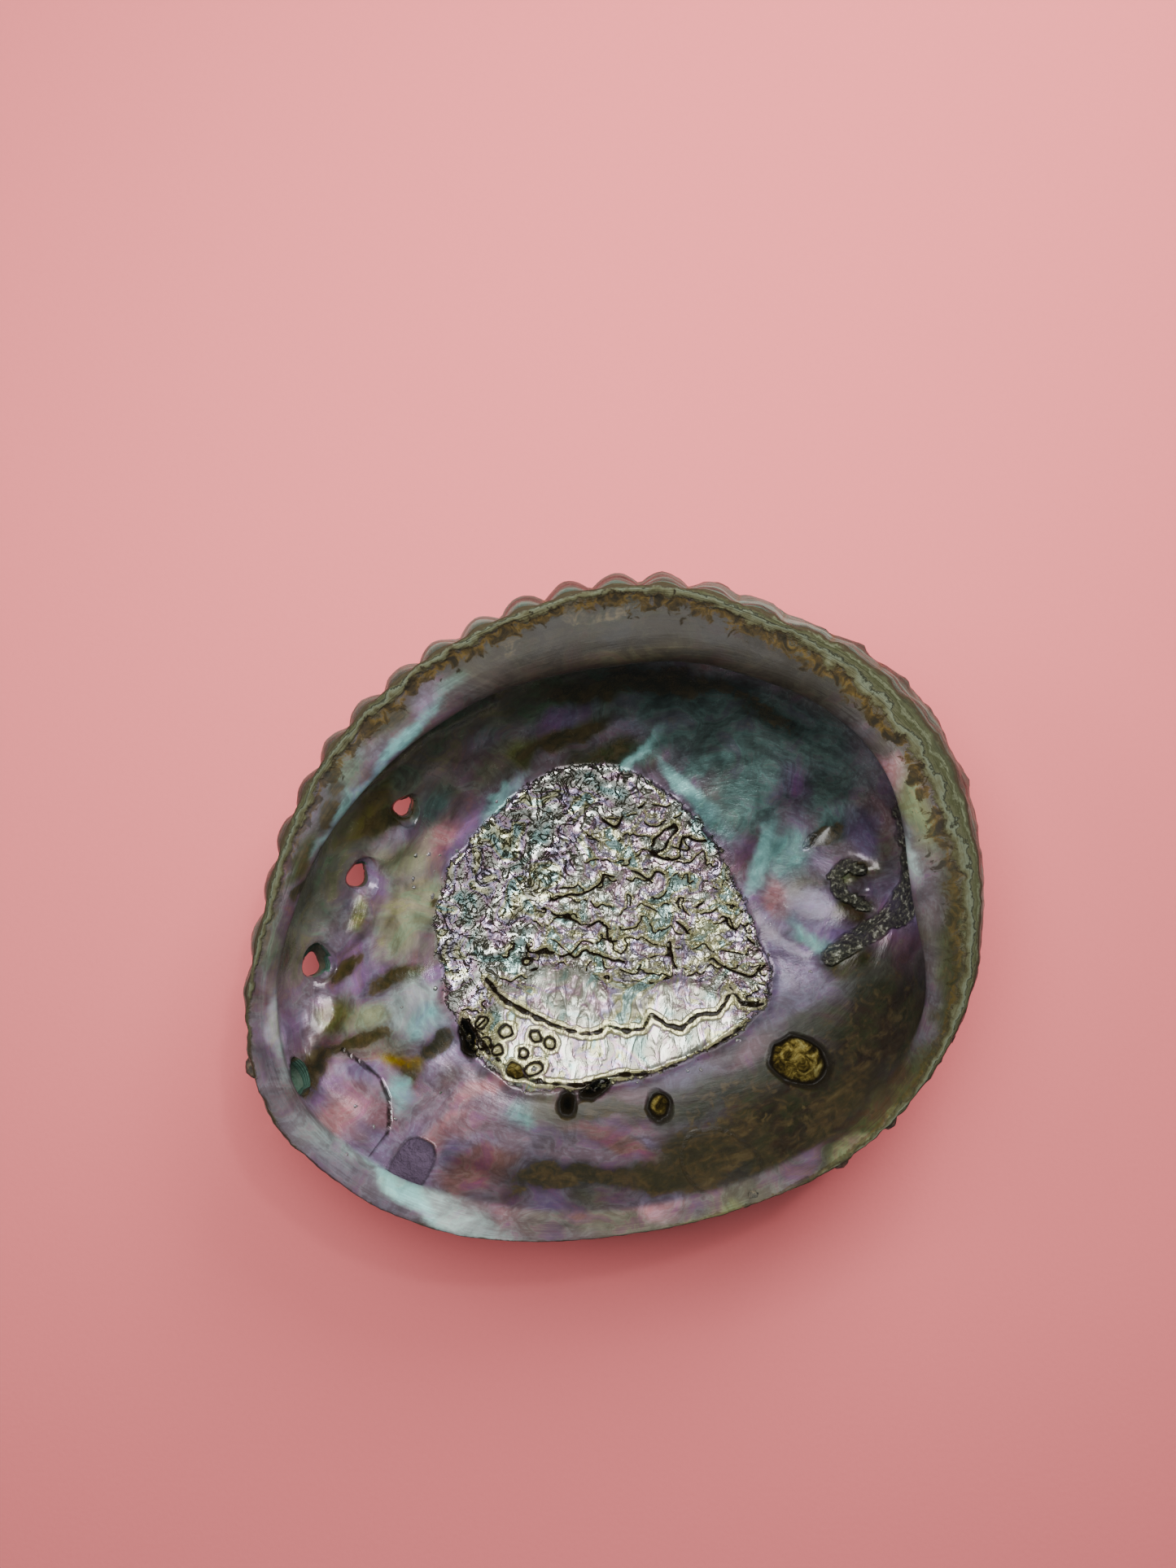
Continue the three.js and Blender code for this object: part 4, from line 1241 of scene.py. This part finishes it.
def sea_growth():
    """Worm tubes and lime of other small animals: dull, gritty, grey-brown with pale tips."""
    material, tree, add, place = new_material("Sea growth", Roughness=0.8)
    tone = add("TexNoise", {"Vector": place, "Scale": 0.6, "Detail": 6.0, "Roughness": 0.65})
    colour = add("ValToRGB", {0: tone}, stops=[
        (0.35, "#2A2A28"), (0.5, "#4E4A40"), (0.6, "#6E6450"), (0.72, "#A8A496"),
    ])
    bump = add("Bump", {"Strength": 1.0, "Distance": 0.0006, "Height": tone}, "Normal")
    wire(tree, {"Base Color": colour, "Normal": bump})
    return material


def paper(stage):
    """Matt card: coloured in the pulp, with the faint tooth that its felt leaves."""
    material, tree, add, place = new_material("Matt card", Roughness=0.85)
    tooth = add("TexNoise", {"Vector": place, "Scale": 0.8, "Detail": 4.0})
    shift = add("MapRange", {0: tooth, 3: 0.97, 4: 1.03})
    colour = add("VectorMath", {0: tuple(stage.floor_colour), "Scale": shift}, operation="SCALE")
    bump = add("Bump", {"Strength": 0.15, "Distance": 0.0003, "Height": tooth}, "Normal")
    wire(tree, {"Base Color": colour, "Normal": bump})
    return material


# ---- The shell -------------------------------------------------------------------------------


def growth_place(points):
    """How far each point lies along and across the growing edges that the shell once had.

    Every old edge is the margin drawn smaller about the spire, so the lines fan out from it.
    """
    azimuth = np.arange(0, 360, 2.0)
    reach = around(REACH, azimuth)
    x, y = reach * np.cos(np.radians(azimuth)) - SPIRE[0], reach * np.sin(np.radians(azimuth)) - SPIRE[1]
    turn, far = np.arctan2(y, x), np.hypot(x, y)
    order = np.argsort(turn)
    px, py = points[:, 0] - SPIRE[0], points[:, 1] - SPIRE[1]
    here = np.arctan2(py, px)
    edge = np.interp(here, turn[order], far[order], period=2 * math.pi)
    share = np.hypot(px, py) / edge
    return share, here


def growth_vector(points, section):
    """The same as a vector for noise: slow along a growing edge and quick across it."""
    share, here = growth_place(points)
    depth = np.where(section > 8, share * 14 + (section - 8) * 2.2, share * 14)
    return np.stack((np.cos(here) * 3, np.sin(here) * 3, depth), 1)


def outer_relief(points, section):
    """How far the outside moves along its normal: the spire, sealed pores and general wear."""
    outside = smoothstep(section, 13.2, 14.2)
    away = np.hypot(points[:, 0] - SPIRE[0], points[:, 1] - SPIRE[1])
    rise = 3.2 * np.exp(-((away / 17.0) ** 2)) * smoothstep(section, 15.5, 16.5)
    for x, y, radius in SEALED_PORES:
        distance = np.hypot(points[:, 0] - x, points[:, 1] - y) / radius
        cone = 1.7 * np.exp(-((distance * 0.75) ** 2)) - 1.3 * np.exp(-((distance * 2.2) ** 2))
        rise += cone * smoothstep(section, 14.6, 15.4)
    rise += 0.5 * rough(points, 9, 81, 4)
    return rise * outside


def margin_relief(points, azimuth, section):
    """How far the margin moves along the radius: its youngest growth, and ragged chips in it."""
    near = smoothstep(section, 11.6, 12.8) * (1 - smoothstep(section, 15.0, 17.0))
    grown = smoothstep(section, 9.5, 12.8) * (1 - smoothstep(section, 14.5, 18.0))
    ragged = around(MARGIN_RAGGED, azimuth) * rough(points * (1, 1, 0.5), 3.2, 85, 3)
    return near * ragged + grown * around(YOUNG_EDGE, azimuth)


def shell_skin():
    """The shell's skin with all its smooth relief, and what each point needs to be told apart."""
    skin = Skin()
    mesh = make_mesh("skin", skin.points, skin.faces)
    normals = vectors(mesh.vertex_normals, "vector")
    points, section, azimuth = skin.points, skin.section, skin.azimuth
    inner_rise = inner_relief(points, section) + rim_relief(points, section)
    rise = np.where(section < MARGIN, inner_rise, outer_relief(points, section))
    angle = np.radians(azimuth)
    radial = np.stack((np.cos(angle), np.sin(angle), 0 * angle), 1)
    moved = points + normals * rise[:, None] + radial * margin_relief(points, azimuth, section)[:, None]
    bpy.data.meshes.remove(mesh)
    mesh = make_mesh("shell", moved, skin.faces)
    store(mesh, "azimuth", azimuth)
    store(mesh, "section", section)
    store(mesh, "skin", np.ones(len(points)))
    return mesh


def pore_cutter(pore, flare):
    """A bore that opens both ways, as (points, faces) in millimetres."""
    sides = 28
    steps = (-11, -6, -3, -2.2, -1.5, -0.8, 0, 0.8, 1.5, 2.2, 3, 6, 11)
    azimuth, dip = math.radians(pore["azimuth"]), math.radians(pore["dip"])
    axis = Vector((math.cos(azimuth) * math.cos(dip), math.sin(azimuth) * math.cos(dip), -math.sin(dip)))
    turn = axis.to_track_quat("Z", "Y").to_matrix()
    points = []
    for step in steps:
        widen = 1 + (flare - 1) * float(smoothstep(abs(step), 0.5, 3.2))
        for k in range(sides):
            angle = 2 * math.pi * k / sides
            # the bore is a soft triangle, not a circle
            radius = pore["radius"] * widen * (1 + 0.1 * math.cos(3 * angle + azimuth))
            ring = Vector((radius * math.cos(angle), radius * math.sin(angle), step))
            points.append(Vector(pore["at"]) + turn @ ring)
    faces = [list(range(sides))[::-1], [len(points) - sides + k for k in range(sides)]]
    for row in range(len(steps) - 1):
        for k in range(sides):
            a, b = row * sides + k, row * sides + (k + 1) % sides
            faces.append([a, b, b + sides, a + sides])
    return points, faces


def bore_pores(piece, flare):
    """Cuts the open pores, and tells the points that the cut made where on the shell they are."""
    whole = piece.data
    cutters = []
    for number, pore in enumerate(PORES):
        cutter = make_piece(f"bore_{number}", make_mesh("bore", *pore_cutter(pore, flare)))
        cutters.append(cutter)
        cut = piece.modifiers.new(cutter.name, "BOOLEAN")
        cut.operation = "DIFFERENCE"
        cut.solver = "MANIFOLD"
        cut.object = cutter
    bored = evaluated(piece)
    piece.data = bored
    for cutter in cutters:
        bpy.data.objects.remove(cutter)
    if len(bored.vertices) <= len(whole.vertices) * 0.9:
        raise RuntimeError("the pores could not be cut")
    old = vectors(whole.vertices, "co")
    tree = KDTree(len(old))
    for i, place in enumerate(old):
        tree.insert(place, i)
    tree.balance()
    new = vectors(bored.vertices, "co")
    # a point of the skin carries a 1, and one that the cut made carries less
    for name in ("azimuth", "section"):
        source, values = stored(whole, name), stored(bored, name)
        for i in np.nonzero(stored(bored, "skin") < 0.999)[0]:
            values[i] = source[tree.find(new[i])[1]]
        store(bored, name, values)


def tell_growth(mesh):
    """What the growth tree reads: the folds' depth and the ridges' share in metres, and the plates.

    It also tells each face its zone: 0 is nacre and 1 is the outside.
    """
    points = vectors(mesh.vertices, "co") / MM
    azimuth, section = stored(mesh, "azimuth"), stored(mesh, "section")
    folded = (azimuth > 2 * FOLD_PITCH) & (azimuth < 25 * FOLD_PITCH) & (section >= MARGIN)
    low = smoothstep(points[:, 2], FOLD_FOOT, FOLD_TOP)
    over = smoothstep(section, MARGIN - 0.7, MARGIN + 0.6)
    store(mesh, "fold", np.where(folded, around(FOLD_DEPTH, azimuth) * low, 0) * over * MM)
    store(mesh, "outside", smoothstep(section, 13.3, 15) * (1 - smoothstep(section, 19.3, 19.9)) * MM)
    scar = scar_depth(points)
    x, y = points[:, 0], points[:, 1]
    sound = smoothstep((x - 0.9 * y + 14) / 20 + 0.9 * rough(points * (1, 1, 0), 9, 95), -0.5, 0.3)
    flaky = smoothstep(scar, 0.6, 2.2) * sound * (section < 7)
    broad = lowest_plates(points) * (section < 7)
    store(mesh, "broad_plates", broad)
    store(mesh, "flaky", flaky * (1 - broad))
    store(mesh, "growth", growth_vector(points, section), "FLOAT_VECTOR")
    faces = np.empty(len(mesh.loops), np.int32)
    mesh.loops.foreach_get("vertex_index", faces)
    starts = np.empty(len(mesh.polygons), np.int32)
    mesh.polygons.foreach_get("loop_start", starts)
    highest = np.maximum.reduceat(section[faces], starts)
    store(mesh, "zone", (highest > MARGIN + 0.05).astype(int), "INT", "FACE")


def tell_looks(mesh):
    """What the materials read at each point of the finished shape."""
    points = vectors(mesh.vertices, "co") / MM
    azimuth, section = stored(mesh, "azimuth"), stored(mesh, "section")
    tones = pearl_tones(points, section)
    inside = section < 7.2
    outline, tone, _ = plate_marks(points)
    tint = np.concatenate((tones[:, :3], np.ones((len(points), 1))), 1)
    store(mesh, "tint", tint, "FLOAT_COLOR")
    store(mesh, "horn", tones[:, 3])
    store(mesh, "gritty", np.where(inside, ridge_marks(points)[1], 0))
    # the polish is worn off low on the lip's slope, and beside the scar under the dish
    low_slope = 0.85 * smoothstep(0.45 * points[:, 0] - points[:, 1], 36, 50)
    under_dish = 0.75 * np.exp(-(oval(points, (45, -7), 13, 8, -30) ** 2))
    store(mesh, "polish", 1 - np.maximum(low_slope, under_dish))
    store(mesh, "stain_line", around(STAIN_LINE, azimuth))
    store(mesh, "outline", np.where(inside, outline, 99))
    store(mesh, "tone", tone)
    store(mesh, "scar", np.where(inside, scar_depth(points), -9))
    store(mesh, "crack", np.where(inside, line_distance(points, CRACK, 0.25, 91), 99))
    ledges = [line_distance(points, line, 0.7, 93) for line in LEDGES]
    store(mesh, "ledge", np.where(inside, np.min(ledges, axis=0), 99))
    store(mesh, "stained", around(STAINED, azimuth))
    turns = np.abs(np.sin(np.pi * azimuth / FOLD_PITCH))
    store(mesh, "crest", np.where(around(FOLD_DEPTH, azimuth) > 0.5, turns, 1))
    for spare in ("skin", "fold", "outside", "azimuth"):
        mesh.attributes.remove(mesh.attributes[spare])


# ---- What a user would change ----------------------------------------------------------------


class ShellSizes(bpy.types.PropertyGroup):
    """Sizes of the shell's own relief."""
    folds: IntProperty(
        name="Folds", description="Corrugations that would go round the whole margin", default=42, min=6,
    )
    ridge_height: FloatProperty(
        name="Ridge Height", description="Height of the growth ridges on the back", default=2.4,
    )
    plate_step: FloatProperty(
        name="Plate Step", description="How far one flaked plate stands above the next",
        default=0.6 * MM, unit="LENGTH", precision=5,
    )
    pore_flare: FloatProperty(
        name="Pore Flare", description="How much wider a pore is at its mouths than in its throat",
        default=1.7, min=1.0,
    )
    blister_size: FloatProperty(
        name="Blister Size", description="Radius of the small pearls on the nacre",
        default=0.55 * MM, unit="LENGTH", precision=5,
    )
    growth_size: FloatProperty(
        name="Growth Size", description="Radius of the lime lumps on the outer edge",
        default=1.7 * MM, unit="LENGTH", precision=5,
    )


class PearlLook(bpy.types.PropertyGroup):
    """How the nacre shines and how its colours drift."""
    play: FloatProperty(
        name="Play of Colour", description="How strongly the films' own colours lie over the tones",
        default=0.5, min=0.0, max=1.0, subtype="FACTOR",
    )
    drift: FloatProperty(
        name="Hue Drift", description="How far the hue wanders either way", default=0.035, min=0.0, max=0.5,
    )
    saturation: FloatProperty(
        name="Saturation", description="Strength of the nacre's colours", default=1.1, min=0.0, max=3.0,
    )
    sheen: FloatProperty(
        name="Metallic Sheen", description="How metallic the smooth nacre is", default=0.35,
        min=0.0, max=1.0, subtype="FACTOR",
    )
    roughness: FloatProperty(
        name="Roughness", description="Roughness of the smooth nacre", default=0.16,
        min=0.06, max=1.0, subtype="FACTOR",
    )


class CrustLook(bpy.types.PropertyGroup):
    """Colour of the outside."""
    furrow_hex: StringProperty(
        name="Furrow Colour", description="Colour in the furrows between the folds", default="#5A4A2A",
    )


class StageLook(bpy.types.PropertyGroup):
    """The floor and the light."""
    floor_colour: FloatVectorProperty(
        name="Floor Colour", description="Colour of the card under the shell", subtype="COLOR", size=3,
        default=linear("#FF8284")[:3],
    )
    key_power: FloatProperty(
        name="Key Power", description="Power of the window-like light, which the others follow",
        default=3.8, unit="POWER",
    )


# ---- Operators -------------------------------------------------------------------------------


def finish_piece(piece):
    """Smooths a piece's shading and says what it stands for."""
    piece.data.shade_smooth()
    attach(piece, "root")
    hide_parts("shell")


def on_nacre(shell, spots):
    """Where a line straight down meets the shell, as (place, normal) for each spot in millimetres."""
    surface = BVHTree.FromObject(shell, bpy.context.evaluated_depsgraph_get())
    found = []
    for x, y in spots:
        place, normal, _, _ = surface.ray_cast(Vector((x * MM, y * MM, OVERHEAD)), Vector((0, 0, -1)))
        if place is None:
            raise RuntimeError(f"no shell under {x}, {y}")
        found.append((place, normal))
    return found


def scattered(name, material, found, sizes, detail, flatness):
    """A piece made of one lump on each place found."""
    base = make_mesh(name, [place / MM for place, _ in found], [])
    store(base, "upright", [normal for _, normal in found], "FLOAT_VECTOR")
    store(base, "size", sizes)
    piece = make_piece(name, base)
    piece.data = shaped_by(piece, scatter_tree(name, material), {"Lump Detail": detail, "Flatness": flatness})
    return piece


class ABALONE_OT_shell(bpy.types.Operator):
    """Grow the shell with its shelf, folds, pores and muscle scar"""
    bl_idname = "abalone.shell"
    bl_label = "Shell"

    def execute(self, context):
        scene = context.scene
        sizes = scene.abalone_shell
        piece = make_piece("abalone_shell", shell_skin())
        bore_pores(piece, sizes.pore_flare)
        tell_growth(piece.data)
        materials = nacre(scene.abalone_pearl), crust(scene.abalone_crust)
        piece.data = shaped_by(piece, growth_tree(materials), {
            "Fold Pitch": 360 / sizes.folds,
            "Ridge Height": sizes.ridge_height,
            "Plate Step": sizes.plate_step,
        })
        tell_looks(piece.data)
        points = vectors(piece.data.vertices, "co")
        points[:, 2] = np.maximum(points[:, 2], 0)
        piece.data.vertices.foreach_set("co", points.astype(np.float32).ravel())
        piece.data.update()
        finish_piece(piece)
        return {"FINISHED"}


class ABALONE_OT_blisters(bpy.types.Operator):
    """Set small blister pearls on the nacre"""
    bl_idname = "abalone.blisters"
    bl_label = "Blister Pearls"

    def execute(self, context):
        sizes = context.scene.abalone_shell
        shell = bpy.data.objects["abalone_shell"]
        found = on_nacre(shell, BLISTERS)
        radii = [sizes.blister_size * (0.75 + 0.5 * ((k * 7) % 10) / 10) for k in range(len(found))]
        piece = scattered("blister_pearls", blister_pearl(), found, radii, 2, 0.5)
        finish_piece(piece)
        return {"FINISHED"}


class ABALONE_OT_growths(bpy.types.Operator):
    """Set worm tubes and lime lumps on the outer edge"""
    bl_idname = "abalone.growths"
    bl_label = "Sea Growths"

    def execute(self, context):
        sizes = context.scene.abalone_shell
        mesh = bpy.data.objects["abalone_shell"].data
        points = vectors(mesh.vertices, "co")
        azimuth = np.degrees(np.arctan2(points[:, 1], points[:, 0]))
        reach = np.hypot(points[:, 0], points[:, 1])
        found, radii = [], []
        for turn, inward, share in GROWTHS:
            near = np.abs((azimuth - turn + 180) % 360 - 180) < 1.2
            if not near.any():
                raise RuntimeError(f"no edge at {turn} degrees")
            edge = points[near][reach[near].argmax()]
            out = Vector((edge[0], edge[1], 0)).normalized()
            found.append((Vector(edge) - out * inward * MM, out + Vector((0, 0, 0.6))))
            radii.append(sizes.growth_size * share)
        piece = scattered("sea_growths", sea_growth(), found, radii, 2, 0.7)
        finish_piece(piece)
        return {"FINISHED"}


class ABALONE_OT_stage(bpy.types.Operator):
    """Lay the card floor, and set the lights and the camera"""
    bl_idname = "abalone.stage"
    bl_label = "Stage"

    def execute(self, context):
        stage = context.scene.abalone_stage
        half = FLOOR_HALF / MM
        corners = [(-half, -half, 0), (half, -half, 0), (half, half, 0), (-half, half, 0)]
        floor = make_piece("floor", make_mesh("floor", corners, [[0, 1, 2, 3]]))
        floor.data.materials.append(paper(stage))

        for name, (place, size, share, mirrored) in LAMPS.items():
            lamp = bpy.data.lights.new(name, "AREA")
            lamp.energy = stage.key_power * share
            lamp.size = size
            light = bpy.data.objects.new(name, lamp)
            light.location = place
            light.visible_glossy = mirrored
            light.rotation_euler = (-Vector(place)).to_track_quat("-Z", "Y").to_euler()
            context.scene.collection.objects.link(light)

        world = bpy.data.worlds.new("Soft room")
        world.use_nodes = True
        background = world.node_tree.nodes["Background"].inputs
        background["Color"].default_value = ROOM_COLOUR
        background["Strength"].default_value = ROOM_STRENGTH
        context.scene.world = world

        eye = bpy.data.cameras.new("camera")
        eye.sensor_width = CAMERA_SENSOR
        eye.lens = CAMERA_LENS
        eye.clip_start = 0.01
        camera = bpy.data.objects.new("camera", eye)
        camera.location = CAMERA_AT
        context.scene.collection.objects.link(camera)
        context.scene.camera = camera
        return {"FINISHED"}


class ABALONE_PT_panel(bpy.types.Panel):
    """Lists the shell's steps and what can be changed"""
    bl_label = "Abalone Shell"
    bl_idname = "ABALONE_PT_panel"
    bl_space_type = "VIEW_3D"
    bl_region_type = "UI"
    bl_category = "Abalone"

    def draw(self, context):
        layout = self.layout
        for group in PROPERTY_GROUPS:
            owner = getattr(context.scene, group)
            for name in owner.bl_rna.properties.keys():
                if name not in {"rna_type", "name"}:
                    layout.prop(owner, name)
        for operator in OPERATORS:
            layout.operator(operator.bl_idname)


OPERATORS = (ABALONE_OT_shell, ABALONE_OT_blisters, ABALONE_OT_growths, ABALONE_OT_stage)
PROPERTY_GROUPS = {
    "abalone_shell": ShellSizes,
    "abalone_pearl": PearlLook,
    "abalone_crust": CrustLook,
    "abalone_stage": StageLook,
}


def register():
    for group in (*PROPERTY_GROUPS.values(), *OPERATORS, ABALONE_PT_panel):
        bpy.utils.register_class(group)
    for name, group in PROPERTY_GROUPS.items():
        setattr(bpy.types.Scene, name, PointerProperty(type=group))


def unregister():
    for name in PROPERTY_GROUPS:
        delattr(bpy.types.Scene, name)
    for group in reversed((*PROPERTY_GROUPS.values(), *OPERATORS, ABALONE_PT_panel)):
        bpy.utils.unregister_class(group)


def main():
    register()
    bpy.ops.abalone.shell()
    bpy.ops.abalone.blisters()
    bpy.ops.abalone.growths()
    bpy.ops.abalone.stage()


if __name__ == "__main__":
    main()
